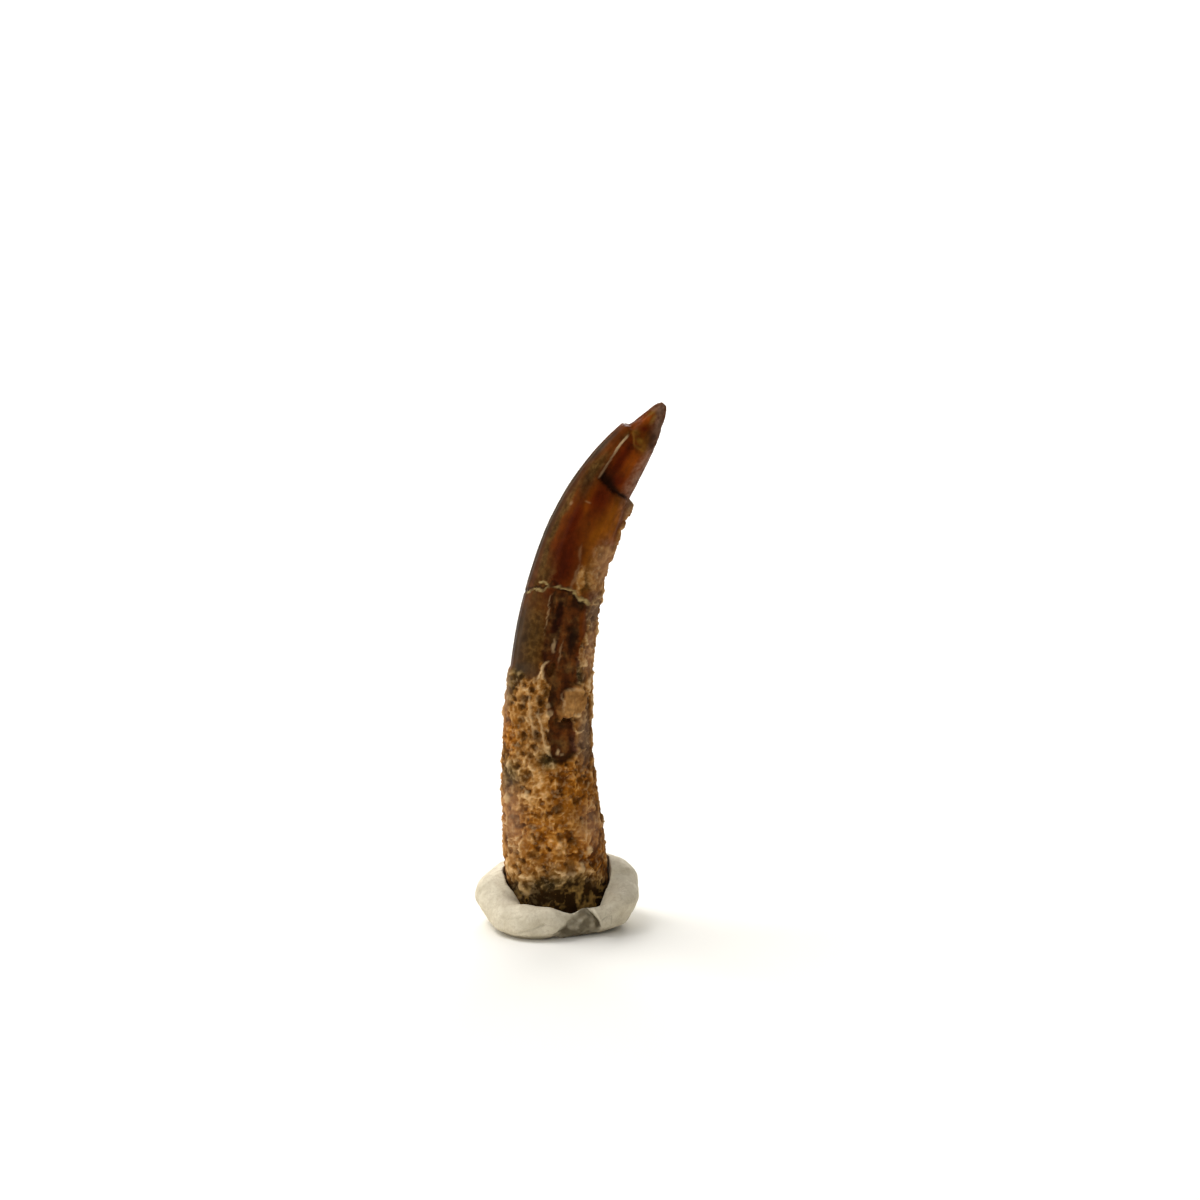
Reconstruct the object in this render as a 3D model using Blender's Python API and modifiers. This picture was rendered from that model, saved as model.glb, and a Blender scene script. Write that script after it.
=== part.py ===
"""A fossil pterosaur tooth, standing in the ring of display putty that holds it up.

Metres, +Z up. The tooth curves in the XZ plane, towards +X, and its finished side faces -Y.
The origin is the bottom centre of the whole object's bounding box, on the surface it stands on.
Places on the tooth are given as a length along its spine from the root, and as a bearing in
degrees around the spine: 0 is the inner edge of the curve, 90 faces -Y, 180 is the outer edge.
"""

import math

import bmesh
import bpy
from mathutils import Matrix, Vector, noise

MM = 0.001

# The tooth's spine is one cubic Bezier in the XZ plane, as (x, z): root, two handles, tip.
SPINE = (
    (-0.43 * MM, 0.22 * MM),
    (-0.91 * MM, 5.19 * MM),
    (-3.18 * MM, 17.44 * MM),
    (4.53 * MM, 25.44 * MM),
)
TOOTH_Y = 0.10 * MM
# Half of the tooth's width under its crust, as (share of the spine's length, half width).
HALF_WIDTHS = (
    (0.00, 2.19 * MM),
    (0.13, 2.36 * MM),
    (0.30, 2.10 * MM),
    (0.45, 1.93 * MM),
    (0.60, 1.79 * MM),
    (0.75, 1.61 * MM),
    (0.85, 1.30 * MM),
    (0.93, 0.89 * MM),
    (0.975, 0.50 * MM),
    (0.993, 0.27 * MM),
    (1.00, 0.05 * MM),
)
DEPTH_SHARE = 0.78  # the section is an oval, flatter across Y

# The mesh of the tooth: rings along the flank, rings across the broken root, sides round it.
FLANK_RINGS = 84
ROOT_RINGS = 6
SIDES = 44
TIP_CROWDING = 1.12  # 1 spaces the flank's rings evenly, more crowds them towards the tip

# The sandy crust covers the tooth from the root up to this line, as (bearing, length along).
CRUST_LINE = (
    (0, 17.2 * MM),
    (28, 16.6 * MM),
    (44, 14.2 * MM),
    (48, 8.4 * MM),
    (70, 7.8 * MM),
    (86, 8.4 * MM),
    (93, 12.6 * MM),
    (120, 12.5 * MM),
    (160, 12.6 * MM),
    (205, 14.4 * MM),
    (240, 11.2 * MM),
    (275, 13.6 * MM),
    (315, 15.0 * MM),
    (345, 18.6 * MM),
)
CRUST_LINE_WANDER = 0.45 * MM
CRUST_LINE_WAVES = (1.3 * MM, 0.5 * MM)  # lengths of the wide and the narrow waves in it
CRUST_THICKNESS = 0.13 * MM
CRUST_FADE = 0.25 * MM  # the length over which the crust thins out at its line
LUMP_HEIGHT = 0.16 * MM
LUMP_SPACING = 0.75 * MM
LUMP_SEED = Vector((7.3, 1.9, 4.1))
PIT_DEPTH = 0.26 * MM
PIT_SPACING = 1.05 * MM
PIT_RADII = (0.12, 0.46)  # of a pit's floor and rim, in pit spacings
BARE_ROOT_TOP = 2.3 * MM  # below this the crust thins out, and the root is bare
BARE_ROOT_FADE = 1.0 * MM

# Patches and lumps of crust that stand alone above the line:
# (length along, bearing, half length, half width in degrees, height).
PATCH_EDGE = (0.55, 1.15)  # where a patch's rim starts and ends, in shares of its half size
CRUST_PATCHES = (
    (10.95 * MM, 46, 0.65 * MM, 26, 0.20 * MM),
    (17.90 * MM, 36, 1.00 * MM, 24, 0.12 * MM),
    (19.00 * MM, 2, 0.55 * MM, 20, 0.22 * MM),
    (19.85 * MM, 4, 0.50 * MM, 18, 0.24 * MM),
    (20.60 * MM, 0, 0.40 * MM, 17, 0.22 * MM),
    (21.25 * MM, 4, 0.42 * MM, 20, 0.26 * MM),
    (20.10 * MM, 334, 0.90 * MM, 16, 0.18 * MM),
)

# The enamel has flaked off above the step near the tip, on the side with bearings below the edge.
STEP_ALONG = 22.0 * MM
STEP_SLANT = 0.40 * MM  # how much lower the step is at the inner edge
FLAKE_EDGE = 112
FLAKE_INNER_EDGE = -20
FLAKE_INNER_FADE = 60
FLAKE_DEPTH = 0.28 * MM
FLAKE_RUN_OUT = 0.6  # the share of its depth that the flake loses on its way up to the cap
# The tip is left as a worn cap, with its own low edge.
CAP_ALONG = 24.25 * MM
CAP_RISE = 0.12 * MM
# The outer edge is broken away above the shoulder.
SHOULDER_ALONG = 24.62 * MM
SHOULDER_DEPTH = 0.34 * MM
SHOULDER_RUN_OUT = 1.5  # above 1 hollows the broken slope out
SHOULDER_BACK_EDGE = 235
# The enamel is also gone below the cross crack, in a long window down to the crust.
CRACK_ALONG = 16.4 * MM
WINDOW_FOOT = 7.6 * MM
WINDOW_EDGES = (45, 103)
WINDOW_DEPTH = 0.15 * MM
# A ledge's length along the spine, and its width in degrees where it runs lengthwise.
STEP_FADE = 0.07 * MM
EDGE_FADE = 7
# Fine ridges run lengthwise, and die out towards the tip.
RIDGE_HEIGHT = 0.025 * MM
RIDGES_ROUND = 17
RIDGE_WEAVE = 1.5 * MM
RIDGE_FADE = 2.5 * MM

# The broken root: a jagged rim, and sediment that fills the pulp hollow a little short of it.
RIM_JAG = 0.35 * MM
RIM_JAGS = 2.2  # how fast the jag changes round the rim
PULP_EDGE = (0.44, 0.67)  # where the hollow's slope starts and ends, in shares of the way out
PULP_DEPTH = 0.35 * MM
ROOT_ROUGHNESS = 0.06 * MM
ROOT_GRAIN = 0.7 * MM

# The putty roll: its centre line round the tooth, from its front end, clockwise from above,
# as (bearing from above, distance out, height, roll radius). Bearing 270 faces -Y.
PUTTY_CENTRE = (-0.64 * MM, 0.10 * MM)
PUTTY_ROLL = (
    (286, 3.05 * MM, 0.93 * MM, 0.10 * MM),
    (278, 3.15 * MM, 0.90 * MM, 0.24 * MM),
    (270, 3.20 * MM, 0.78 * MM, 0.54 * MM),
    (260, 3.20 * MM, 0.70 * MM, 0.69 * MM),
    (248, 3.20 * MM, 0.63 * MM, 0.80 * MM),
    (236, 3.20 * MM, 0.66 * MM, 0.86 * MM),
    (224, 3.20 * MM, 0.72 * MM, 0.94 * MM),
    (212, 3.06 * MM, 0.82 * MM, 1.00 * MM),
    (196, 2.72 * MM, 1.04 * MM, 1.24 * MM),
    (180, 2.54 * MM, 1.22 * MM, 1.37 * MM),
    (140, 2.40 * MM, 1.32 * MM, 1.42 * MM),
    (90, 2.15 * MM, 1.40 * MM, 1.46 * MM),
    (45, 2.28 * MM, 1.50 * MM, 1.54 * MM),
    (5, 2.36 * MM, 1.58 * MM, 1.60 * MM),
    (355, 2.70 * MM, 1.42 * MM, 1.24 * MM),
    (345, 3.06 * MM, 1.26 * MM, 0.96 * MM),
    (330, 3.35 * MM, 0.92 * MM, 0.92 * MM),
    (315, 3.35 * MM, 0.68 * MM, 0.68 * MM),
    (303, 3.05 * MM, 0.65 * MM, 0.58 * MM),
    (294, 3.00 * MM, 0.66 * MM, 0.50 * MM),
    (282, 2.92 * MM, 0.56 * MM, 0.40 * MM),
    (272, 2.80 * MM, 0.44 * MM, 0.34 * MM),
)
PUTTY_STEPS = 6  # curve points between two of the roll's stations
PUTTY_DENT = 0.05 * MM
PUTTY_DENT_SPACING = 1.1 * MM
PUTTY_VOXEL = 0.14 * MM
PUTTY_KEPT_SHARE = 0.11
WELD_DISTANCE = 0.001 * MM

# The seat cut in the putty for the tooth, and the slab it is cut flat with.
SEAT_GAP = 0.25 * MM
SEAT_SIDES = 40
SEAT_RINGS = 8
SEAT_TOP = 5.0 * MM
SEAT_FOOT = 1.0 * MM  # how far it runs on below the root
SLAB_SIZE = (16 * MM, 16 * MM, 4 * MM)

TOOTH_COLOUR = (0.24, 0.105, 0.032, 1.0)
PUTTY_COLOUR = (0.60, 0.57, 0.50, 1.0)
SHARP_ANGLE = math.radians(50)


def clear_scene():
    """Removes whatever the open file holds."""
    for obj in list(bpy.data.objects):
        bpy.data.objects.remove(obj)


def new_collection(name):
    """A collection linked to the scene."""
    collection = bpy.data.collections.new(name)
    bpy.context.scene.collection.children.link(collection)
    return collection


def material(name, colour, roughness):
    """A plain Principled material."""
    made = bpy.data.materials.new(name)
    made.use_nodes = True
    shader = made.node_tree.nodes["Principled BSDF"]
    shader.inputs["Base Color"].default_value = colour
    shader.inputs["Roughness"].default_value = roughness
    return made


def smooth(low, high, value):
    """0 below low, 1 above high and a smooth rise between them."""
    share = min(1.0, max(0.0, (value - low) / (high - low)))
    return share * share * (3.0 - 2.0 * share)


def through(points, at):
    """The smooth curve through (place, value) points, at one place. Monotone between points."""
    if at <= points[0][0]:
        return points[0][1]
    for index in range(len(points) - 1):
        (x0, y0), (x1, y1) = points[index], points[index + 1]
        if at <= x1:
            break
    else:
        return points[-1][1]
    before = points[max(0, index - 1)]
    after = points[min(len(points) - 1, index + 2)]
    rise = (y1 - y0) / (x1 - x0)
    slope_in = slope_between(before, (x0, y0), rise)
    slope_out = slope_between((x1, y1), after, rise)
    span = x1 - x0
    t = (at - x0) / span
    return (
        y0 * (1 + 2 * t) * (1 - t) ** 2
        + slope_in * span * t * (1 - t) ** 2
        + y1 * t * t * (3 - 2 * t)
        + slope_out * span * t * t * (t - 1)
    )


def slope_between(first, second, rise):
    """The slope where two stretches meet: none at a turning point, else their harmonic mean."""
    if second[0] == first[0]:
        return rise
    other = (second[1] - first[1]) / (second[0] - first[0])
    return 2 * other * rise / (other + rise) if other * rise > 0 else 0.0


def spine_at(t):
    """The spine's point and direction at Bezier parameter t."""
    root, low, high, tip = (Vector((x, TOOTH_Y, z)) for x, z in SPINE)
    point = root * (1 - t) ** 3 + low * 3 * t * (1 - t) ** 2
    point += high * 3 * t * t * (1 - t) + tip * t**3
    direction = (low - root) * (1 - t) ** 2 + (high - low) * 2 * t * (1 - t)
    direction += (tip - high) * t * t
    return point, direction.normalized()


def spine_lengths(steps=400):
    """The length along the spine at even steps of its parameter."""
    lengths = [0.0]
    last = spine_at(0.0)[0]
    for step in range(1, steps + 1):
        point = spine_at(step / steps)[0]
        lengths.append(lengths[-1] + (point - last).length)
        last = point
    return lengths


LENGTHS = spine_lengths()
TOOTH_LENGTH = LENGTHS[-1]


def parameter_at(along):
    """The Bezier parameter at a length along the spine."""
    steps = len(LENGTHS) - 1
    for step in range(steps):
        if along <= LENGTHS[step + 1]:
            part = (along - LENGTHS[step]) / (LENGTHS[step + 1] - LENGTHS[step])
            return (step + part) / steps
    return 1.0


def bare_tooth(along, bearing, spread=0.0):
    """A point of the tooth's smooth form, with its outward direction, spread out by a distance."""
    point, direction = spine_at(parameter_at(along))
    half = through(HALF_WIDTHS, along / TOOTH_LENGTH) + spread
    half_depth = half * DEPTH_SHARE + spread * (1 - DEPTH_SHARE)
    inner = Vector((direction.z, 0.0, -direction.x))
    front = Vector((0.0, -1.0, 0.0))
    turn = math.radians(bearing)
    across, forward = math.cos(turn), math.sin(turn)
    outward = inner * (across * half_depth) + front * (forward * half)
    point = point + inner * (half * across) + front * (half_depth * forward)
    return point, outward.normalized()


def from_bearing(bearing, centre):
    """How far a bearing is from another, from -180 to 180."""
    return (bearing - centre + 180) % 360 - 180


def patch(along, bearing, centre_along, centre_bearing, half_length, half_width):
    """1 in the middle of an oval patch on the flank, 0 outside it."""
    reach = math.hypot(
        (along - centre_along) / half_length,
        from_bearing(bearing, centre_bearing) / half_width,
    )
    return 1 - smooth(*PATCH_EDGE, reach)


def crust_line(bearing):
    """How far up the tooth the crust reaches at a bearing."""
    first, last = CRUST_LINE[0], CRUST_LINE[-1]
    round_trip = ((last[0] - 360, last[1]), *CRUST_LINE, (first[0] + 360, first[1]))
    return through(round_trip, bearing % 360)


def above_bare_root(along):
    """0 on the bare root, 1 where the crust may lie."""
    return smooth(BARE_ROOT_TOP - BARE_ROOT_FADE, BARE_ROOT_TOP, along)


def crust_height(along, bearing, place):
    """How thick the sandy crust is at a place, with its lumps and pits."""
    wide, narrow = CRUST_LINE_WAVES
    wander = noise.noise(place / wide) + noise.noise(place / narrow) / 2
    edge = crust_line(bearing) + CRUST_LINE_WANDER * wander
    cover = 1 - smooth(edge - CRUST_FADE, edge, along)
    cover *= above_bare_root(along)
    height = cover * CRUST_THICKNESS
    for centre_along, centre_bearing, length, width, rise in CRUST_PATCHES:
        inside = patch(along, bearing, centre_along, centre_bearing, length, width)
        cover = max(cover, inside)
        height = max(height, rise * inside)
    lump = LUMP_HEIGHT * noise.noise(place / LUMP_SPACING + LUMP_SEED)
    nearest = noise.voronoi(place / PIT_SPACING)[0][0]
    pit = PIT_DEPTH * (1 - smooth(*PIT_RADII, nearest))
    return height + cover * (lump - pit)


def ledges(bearing):
    """Where sharp ledges cross the flank at a bearing, as lengths along the spine."""
    turned = from_bearing(bearing, 0)
    if FLAKE_INNER_EDGE < turned < FLAKE_EDGE:
        slant = STEP_SLANT * (1 - turned / FLAKE_EDGE)
        return (CRACK_ALONG, STEP_ALONG - slant, CAP_ALONG)
    return (CRACK_ALONG, SHOULDER_ALONG)


def ring_on_ledge(along, bearing, spacing):
    """A ring's place along the spine, moved to a ledge's foot or head if it is the next to it."""
    for ledge in ledges(bearing):
        if ledge - spacing <= along < ledge:
            return ledge
        if ledge <= along < ledge + spacing:
            return ledge + STEP_FADE
    return along


def flake_depth(along, bearing):
    """How deep the surface lies where enamel has flaked off."""
    turned = from_bearing(bearing, 0)
    step = STEP_ALONG - STEP_SLANT * (1 - turned / FLAKE_EDGE)
    in_flake = smooth(step, step + STEP_FADE, along)
    in_flake *= 1 - smooth(FLAKE_EDGE - EDGE_FADE, FLAKE_EDGE, turned)
    in_flake *= smooth(FLAKE_INNER_EDGE, FLAKE_INNER_EDGE + FLAKE_INNER_FADE, turned)
    run_out = 1 - FLAKE_RUN_OUT * smooth(step, CAP_ALONG, along)
    depth = FLAKE_DEPTH * run_out * in_flake
    depth -= CAP_RISE * in_flake * smooth(CAP_ALONG, CAP_ALONG + STEP_FADE, along)

    beyond = smooth(SHOULDER_ALONG, SHOULDER_ALONG + STEP_FADE, along)
    beyond *= smooth(FLAKE_EDGE - EDGE_FADE, FLAKE_EDGE, bearing)
    beyond *= 1 - smooth(SHOULDER_BACK_EDGE, SHOULDER_BACK_EDGE + 2 * EDGE_FADE, bearing)
    run_out = 1 - smooth(SHOULDER_ALONG, TOOTH_LENGTH, along)
    depth += SHOULDER_DEPTH * beyond * run_out**SHOULDER_RUN_OUT

    left, right = WINDOW_EDGES
    in_window = 1 - smooth(CRACK_ALONG, CRACK_ALONG + STEP_FADE, along)
    in_window *= smooth(WINDOW_FOOT, WINDOW_FOOT + 2 * STEP_FADE, along)
    in_window *= smooth(left, left + EDGE_FADE, bearing)
    in_window *= 1 - smooth(right - EDGE_FADE, right, bearing)
    return depth + WINDOW_DEPTH * in_window


def flank_point(along, bearing):
    """A point of the finished flank: the smooth form, less what flaked off, plus the crust."""
    place, outward = bare_tooth(along, bearing)
    crust = crust_height(along, bearing, place)
    weave = noise.noise(place / RIDGE_WEAVE)
    ridge = RIDGE_HEIGHT * math.sin(math.radians(bearing) * RIDGES_ROUND + weave)
    ridge *= smooth(0.0, RIDGE_FADE, TOOTH_LENGTH - along)
    return place + outward * (crust + ridge - flake_depth(along, bearing))


def root_rim(bearing):
    """How far up the spine the jagged rim of the broken root lies at a bearing."""
    turn = math.radians(bearing)
    jag = noise.noise(RIM_JAGS * Vector((math.cos(turn), math.sin(turn), 1.5)))
    return RIM_JAG * (1 + jag) / 2


def root_point(share, bearing):
    """A point of the broken root face, from its rim (share 1) to its middle (share 0)."""
    rim = root_rim(bearing)
    middle, direction = spine_at(0.0)
    edge = flank_point(rim, bearing)
    place = middle.lerp(edge, share)
    hollow = PULP_DEPTH * (1 - smooth(*PULP_EDGE, share))
    rough = ROOT_ROUGHNESS * (1 - share) * noise.noise(place / ROOT_GRAIN)
    level = (RIM_JAG / 2 - rim) * (1 - share)
    place.z = edge.z + (level + hollow) * direction.z + rough
    return place


def make_tooth(collection):
    """The tooth, as a ball whose rings are drawn out along the spine."""
    rings = FLANK_RINGS + ROOT_RINGS
    shape = bmesh.new()
    bmesh.ops.create_uvsphere(shape, u_segments=SIDES, v_segments=rings, radius=1.0)
    for vertex in shape.verts:
        ring = round(math.acos(max(-1.0, min(1.0, vertex.co.z))) / math.pi * rings)
        bearing = -math.degrees(math.atan2(vertex.co.y, vertex.co.x)) % 360
        if ring <= FLANK_RINGS:
            flank = TOOTH_LENGTH - root_rim(bearing)
            along = TOOTH_LENGTH - flank * (ring / FLANK_RINGS) ** TIP_CROWDING
            spacing = flank * TIP_CROWDING / FLANK_RINGS
            vertex.co = flank_point(ring_on_ledge(along, bearing, spacing), bearing)
            if ring == 0:
                vertex.co = spine_at(1.0)[0]
        else:
            share = (rings - ring) / ROOT_RINGS
            vertex.co = root_point(share, bearing)
    lowest = min(vertex.co.z for vertex in shape.verts)
    bmesh.ops.translate(shape, verts=shape.verts, vec=(0.0, 0.0, -lowest))
    mesh = bpy.data.meshes.new("tooth")
    shape.to_mesh(mesh)
    shape.free()
    mesh.shade_smooth()
    mesh.set_sharp_from_angle(angle=SHARP_ANGLE)
    mesh.materials.append(material("fossil_enamel", TOOTH_COLOUR, 0.45))
    tooth = bpy.data.objects.new("tooth", mesh)
    collection.objects.link(tooth)
    return tooth


def roll_station(bearing, out, height):
    """A point of the putty roll's centre line."""
    turn = math.radians(bearing)
    x, y = PUTTY_CENTRE
    return Vector((x + out * math.cos(turn), y + out * math.sin(turn), height))


def roll_points():
    """(point, radius) along the roll: a Catmull-Rom curve through its stations."""
    stations = [
        (roll_station(bearing, out, height), radius)
        for bearing, out, height, radius in PUTTY_ROLL
    ]
    rows = [Vector((*point, radius)) for point, radius in stations]
    rows = [rows[0] * 2 - rows[1], *rows, rows[-1] * 2 - rows[-2]]
    made = []
    for a, b, c, d in zip(rows, rows[1:], rows[2:], rows[3:]):
        for step in range(PUTTY_STEPS):
            t = step / PUTTY_STEPS
            straight = 2 * b + (c - a) * t
            bend = (2 * a - 5 * b + 4 * c - d) * t * t
            twist = (3 * b - a - 3 * c + d) * t**3
            made.append((straight + bend + twist) / 2)
    made.append(rows[-2])
    return made


def mesh_of(obj, name):
    """A new mesh object with the evaluated shape of obj, which is removed."""
    graph = bpy.context.evaluated_depsgraph_get()
    mesh = bpy.data.meshes.new_from_object(obj.evaluated_get(graph))
    made = bpy.data.objects.new(name, mesh)
    made.matrix_world = obj.matrix_world
    for collection in obj.users_collection:
        collection.objects.link(made)
    bpy.data.objects.remove(obj)
    return made


def press_dents(mesh):
    """Moves the putty's surface in and out a little, as fingers leave it."""
    normals = [vertex.normal.copy() for vertex in mesh.vertices]
    for vertex, normal in zip(mesh.vertices, normals):
        vertex.co += normal * (PUTTY_DENT * noise.noise(vertex.co / PUTTY_DENT_SPACING))


def make_roll(collection):
    """The putty roll as rolled and bent round, its two ends pressed into each other in front."""
    points = roll_points()
    curve = bpy.data.curves.new("putty_roll", "CURVE")
    curve.dimensions = "3D"
    curve.bevel_depth = 1 * MM
    curve.bevel_resolution = 6
    curve.use_fill_caps = True
    spline = curve.splines.new("POLY")
    spline.points.add(len(points) - 1)
    for spot, row in zip(spline.points, points):
        spot.co = (row[0], row[1], row[2], 1.0)
        spot.radius = row[3] / curve.bevel_depth
    roll = bpy.data.objects.new("putty_roll", curve)
    collection.objects.link(roll)
    roll = mesh_of(roll, "putty_roll")

    weld = bmesh.new()
    weld.from_mesh(roll.data)
    bmesh.ops.remove_doubles(weld, verts=weld.verts, dist=WELD_DISTANCE)
    weld.to_mesh(roll.data)
    weld.free()

    merge = roll.modifiers.new("merge_ends", "REMESH")
    merge.mode = "VOXEL"
    merge.voxel_size = PUTTY_VOXEL
    roll = mesh_of(roll, "putty_roll")
    press_dents(roll.data)
    thin = roll.modifiers.new("fewer_faces", "DECIMATE")
    thin.ratio = PUTTY_KEPT_SHARE
    return mesh_of(roll, "putty_ring")


def make_seat_cutter(collection):
    """The tooth's smooth form, a gap larger, run down through the surface it stands on."""
    shape = bmesh.new()
    bmesh.ops.create_cone(
        shape, cap_ends=True, segments=SEAT_SIDES, radius1=1.0, radius2=1.0, depth=2.0
    )
    upright = [edge for edge in shape.edges if edge.calc_length() > 1]
    bmesh.ops.subdivide_edges(shape, edges=upright, cuts=SEAT_RINGS, use_grid_fill=True)
    for vertex in shape.verts:
        level = vertex.co.z
        along = SEAT_TOP * (level + 1) / 2
        bearing = -math.degrees(math.atan2(vertex.co.y, vertex.co.x)) % 360
        crust = (CRUST_THICKNESS + LUMP_HEIGHT / 2) * above_bare_root(along)
        vertex.co, _ = bare_tooth(along, bearing, SEAT_GAP + crust)
        if level == -1:
            vertex.co.z -= SEAT_FOOT
    return cutter_from(shape, "seat_cutter", collection)


def make_floor_cutter(collection):
    """The slab under the surface that the putty is pressed flat on."""
    shape = bmesh.new()
    bmesh.ops.create_cube(shape, size=1.0, matrix=Matrix.Diagonal((*SLAB_SIZE, 1.0)))
    cutter = cutter_from(shape, "floor_cutter", collection)
    cutter.location.z = -SLAB_SIZE[2] / 2
    return cutter


def cutter_from(shape, name, collection):
    """A cutter object made of a finished bmesh, which it frees."""
    mesh = bpy.data.meshes.new(name)
    shape.to_mesh(mesh)
    shape.free()
    cutter = bpy.data.objects.new(name, mesh)
    cutter.hide_render = True
    cutter.display_type = "WIRE"
    collection.objects.link(cutter)
    return cutter


def make_putty(collection, cutters):
    """The putty ring: the roll, cut flat underneath and fitted to the tooth."""
    putty = make_roll(collection)
    for cutter in (make_floor_cutter(cutters), make_seat_cutter(cutters)):
        cut = putty.modifiers.new("cut_by_" + cutter.name, "BOOLEAN")
        cut.operation = "DIFFERENCE"
        cut.object = cutter
    putty.data.shade_smooth()
    putty.data.set_sharp_from_angle(angle=SHARP_ANGLE)
    putty.data.materials.append(material("putty", PUTTY_COLOUR, 0.85))
    return putty


def main():
    clear_scene()
    parts = new_collection("pterosaur_tooth")
    cutters = new_collection("cutters")
    make_tooth(parts)
    make_putty(parts, cutters)


main()
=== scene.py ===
"""The looks of a fossil pterosaur tooth and of the ring of display putty that holds it up.

The tooth is one fine mesh, a loft along its spine, shaped by its crust, flaked enamel, cross crack
and broken root. The fields that shape it are kept on the mesh, and its material colours by them.

Sizes are in mm until a mesh is made. A place on the tooth is a length along its spine, from its
root, and a bearing in degrees round it: 0 is the inner edge of the curve, 90 faces -Y, 180 is the
outer edge and 270 faces the back.
"""

import math

import bpy
import numpy as np
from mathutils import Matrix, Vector


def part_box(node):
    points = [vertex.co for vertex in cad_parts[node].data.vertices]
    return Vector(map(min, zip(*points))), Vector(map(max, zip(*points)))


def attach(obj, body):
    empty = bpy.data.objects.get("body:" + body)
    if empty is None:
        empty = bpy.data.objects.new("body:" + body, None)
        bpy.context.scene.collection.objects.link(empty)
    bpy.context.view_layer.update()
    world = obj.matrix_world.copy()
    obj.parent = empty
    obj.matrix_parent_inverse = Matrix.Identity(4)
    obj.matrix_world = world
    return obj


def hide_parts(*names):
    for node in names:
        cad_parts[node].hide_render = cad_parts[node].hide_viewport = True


MM = 0.001
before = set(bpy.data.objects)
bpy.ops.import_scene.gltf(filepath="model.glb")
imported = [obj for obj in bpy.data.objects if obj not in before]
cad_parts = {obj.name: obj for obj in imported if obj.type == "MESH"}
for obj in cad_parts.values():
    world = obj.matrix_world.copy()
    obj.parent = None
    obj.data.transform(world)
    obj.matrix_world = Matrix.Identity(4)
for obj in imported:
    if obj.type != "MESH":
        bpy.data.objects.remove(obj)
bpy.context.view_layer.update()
TOOTH_LOW, TOOTH_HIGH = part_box("tooth")
PUTTY_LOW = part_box("putty_ring")[0]

# ---- The tooth's form ----

# The spine is a cubic Bezier in the XZ plane, (x, z): root, two handles, tip. It is drawn for a
# tooth of DRAWN_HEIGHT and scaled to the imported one.
DRAWN_HEIGHT = 25.42
FIT = (TOOTH_HIGH.z - TOOTH_LOW.z) / MM / DRAWN_HEIGHT
SPINE = FIT * np.array([(-0.31, 0.22), (-0.88, 5.19), (-3.19, 17.44), (4.58, 25.42)])
SPINE_Y = (TOOTH_LOW.y + TOOTH_HIGH.y) / 2 / MM
ROOT = 0.03  # the length along at the spine's root
TIP_GAP = 0.1  # how far below the spine's end the rings end
# Half its width, by the share of its length from root to tip. Its depth is DEPTH_SHARE of that.
HALF_WIDTHS = (
    (0, 2.19), (0.13, 2.33), (0.3, 2.12), (0.45, 1.94), (0.6, 1.8), (0.75, 1.61), (0.85, 1.29),
    (0.93, 0.9), (0.975, 0.53), (0.992, 0.33), (1, 0.1),
)
DEPTH_SHARE = 0.78

# The mesh: how far apart its rings are at a length along, its sides, and the root face's rings.
RING_GAPS = (
    (0, 0.062), (12, 0.062), (15.3, 0.07), (15.8, 0.05), (16.9, 0.05), (17.4, 0.075), (21.3, 0.075),
    (21.6, 0.06), (26.6, 0.055),
)
SIDES = 220
ROOT_RINGS = 26


def smooth(low, high, value):
    """0 below low, 1 above high and a smooth rise between them."""
    share = np.clip((value - low) / (high - low), 0.0, 1.0)
    return share * share * (3.0 - 2.0 * share)


def fall(low, high, value):
    """1 below low, 0 above high and a smooth fall between them."""
    return 1 - smooth(low, high, value)


def curve_through(*points, period=None):
    """A smooth function through (place, value) points, monotone between them."""
    places, values = (np.array(column, float) for column in zip(*points))
    if period:
        places = np.concatenate([places - period, places, places + period])
        values = np.tile(values, 3)
    gaps = np.diff(places)
    rises = np.diff(values) / gaps
    slopes = np.concatenate([rises[:1], np.zeros(len(rises) - 1), rises[-1:]])
    together = rises[:-1] * rises[1:] > 0
    means = 2 * rises[:-1] * rises[1:] / np.where(together, rises[:-1] + rises[1:], 1.0)
    slopes[1:-1] = np.where(together, means, 0.0)

    def value_at(at):
        at = np.mod(at, period) if period else np.clip(at, places[0], places[-1])
        index = np.clip(np.searchsorted(places, at) - 1, 0, len(gaps) - 1)
        gap = gaps[index]
        t = (at - places[index]) / gap
        left = values[index] * (1 + 2 * t) + slopes[index] * gap * t
        right = values[index + 1] * (3 - 2 * t) + slopes[index + 1] * gap * (t - 1)
        return left * (1 - t) ** 2 + right * t * t

    return value_at


def spine_at(t):
    """The spine's points and directions at Bezier parameters t."""
    root, low, high, tip = SPINE
    t = np.asarray(t, float)[..., None]
    point = root * (1 - t) ** 3 + 3 * low * t * (1 - t) ** 2
    point = point + 3 * high * t * t * (1 - t) + tip * t**3
    way = (low - root) * (1 - t) ** 2 + 2 * (high - low) * t * (1 - t) + (tip - high) * t * t
    return point, way / np.linalg.norm(way, axis=-1, keepdims=True)


SPINE_STEPS = np.linspace(0.0, 1.0, 2001)
STEP_LENGTHS = np.linalg.norm(np.diff(spine_at(SPINE_STEPS)[0], axis=0), axis=1)
SPINE_LENGTHS = ROOT + np.cumsum([0, *STEP_LENGTHS])
TIP = SPINE_LENGTHS[-1] - TIP_GAP
half_width_at = curve_through(
    *((ROOT + share * (TIP - ROOT), FIT * half) for share, half in HALF_WIDTHS)
)


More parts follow.
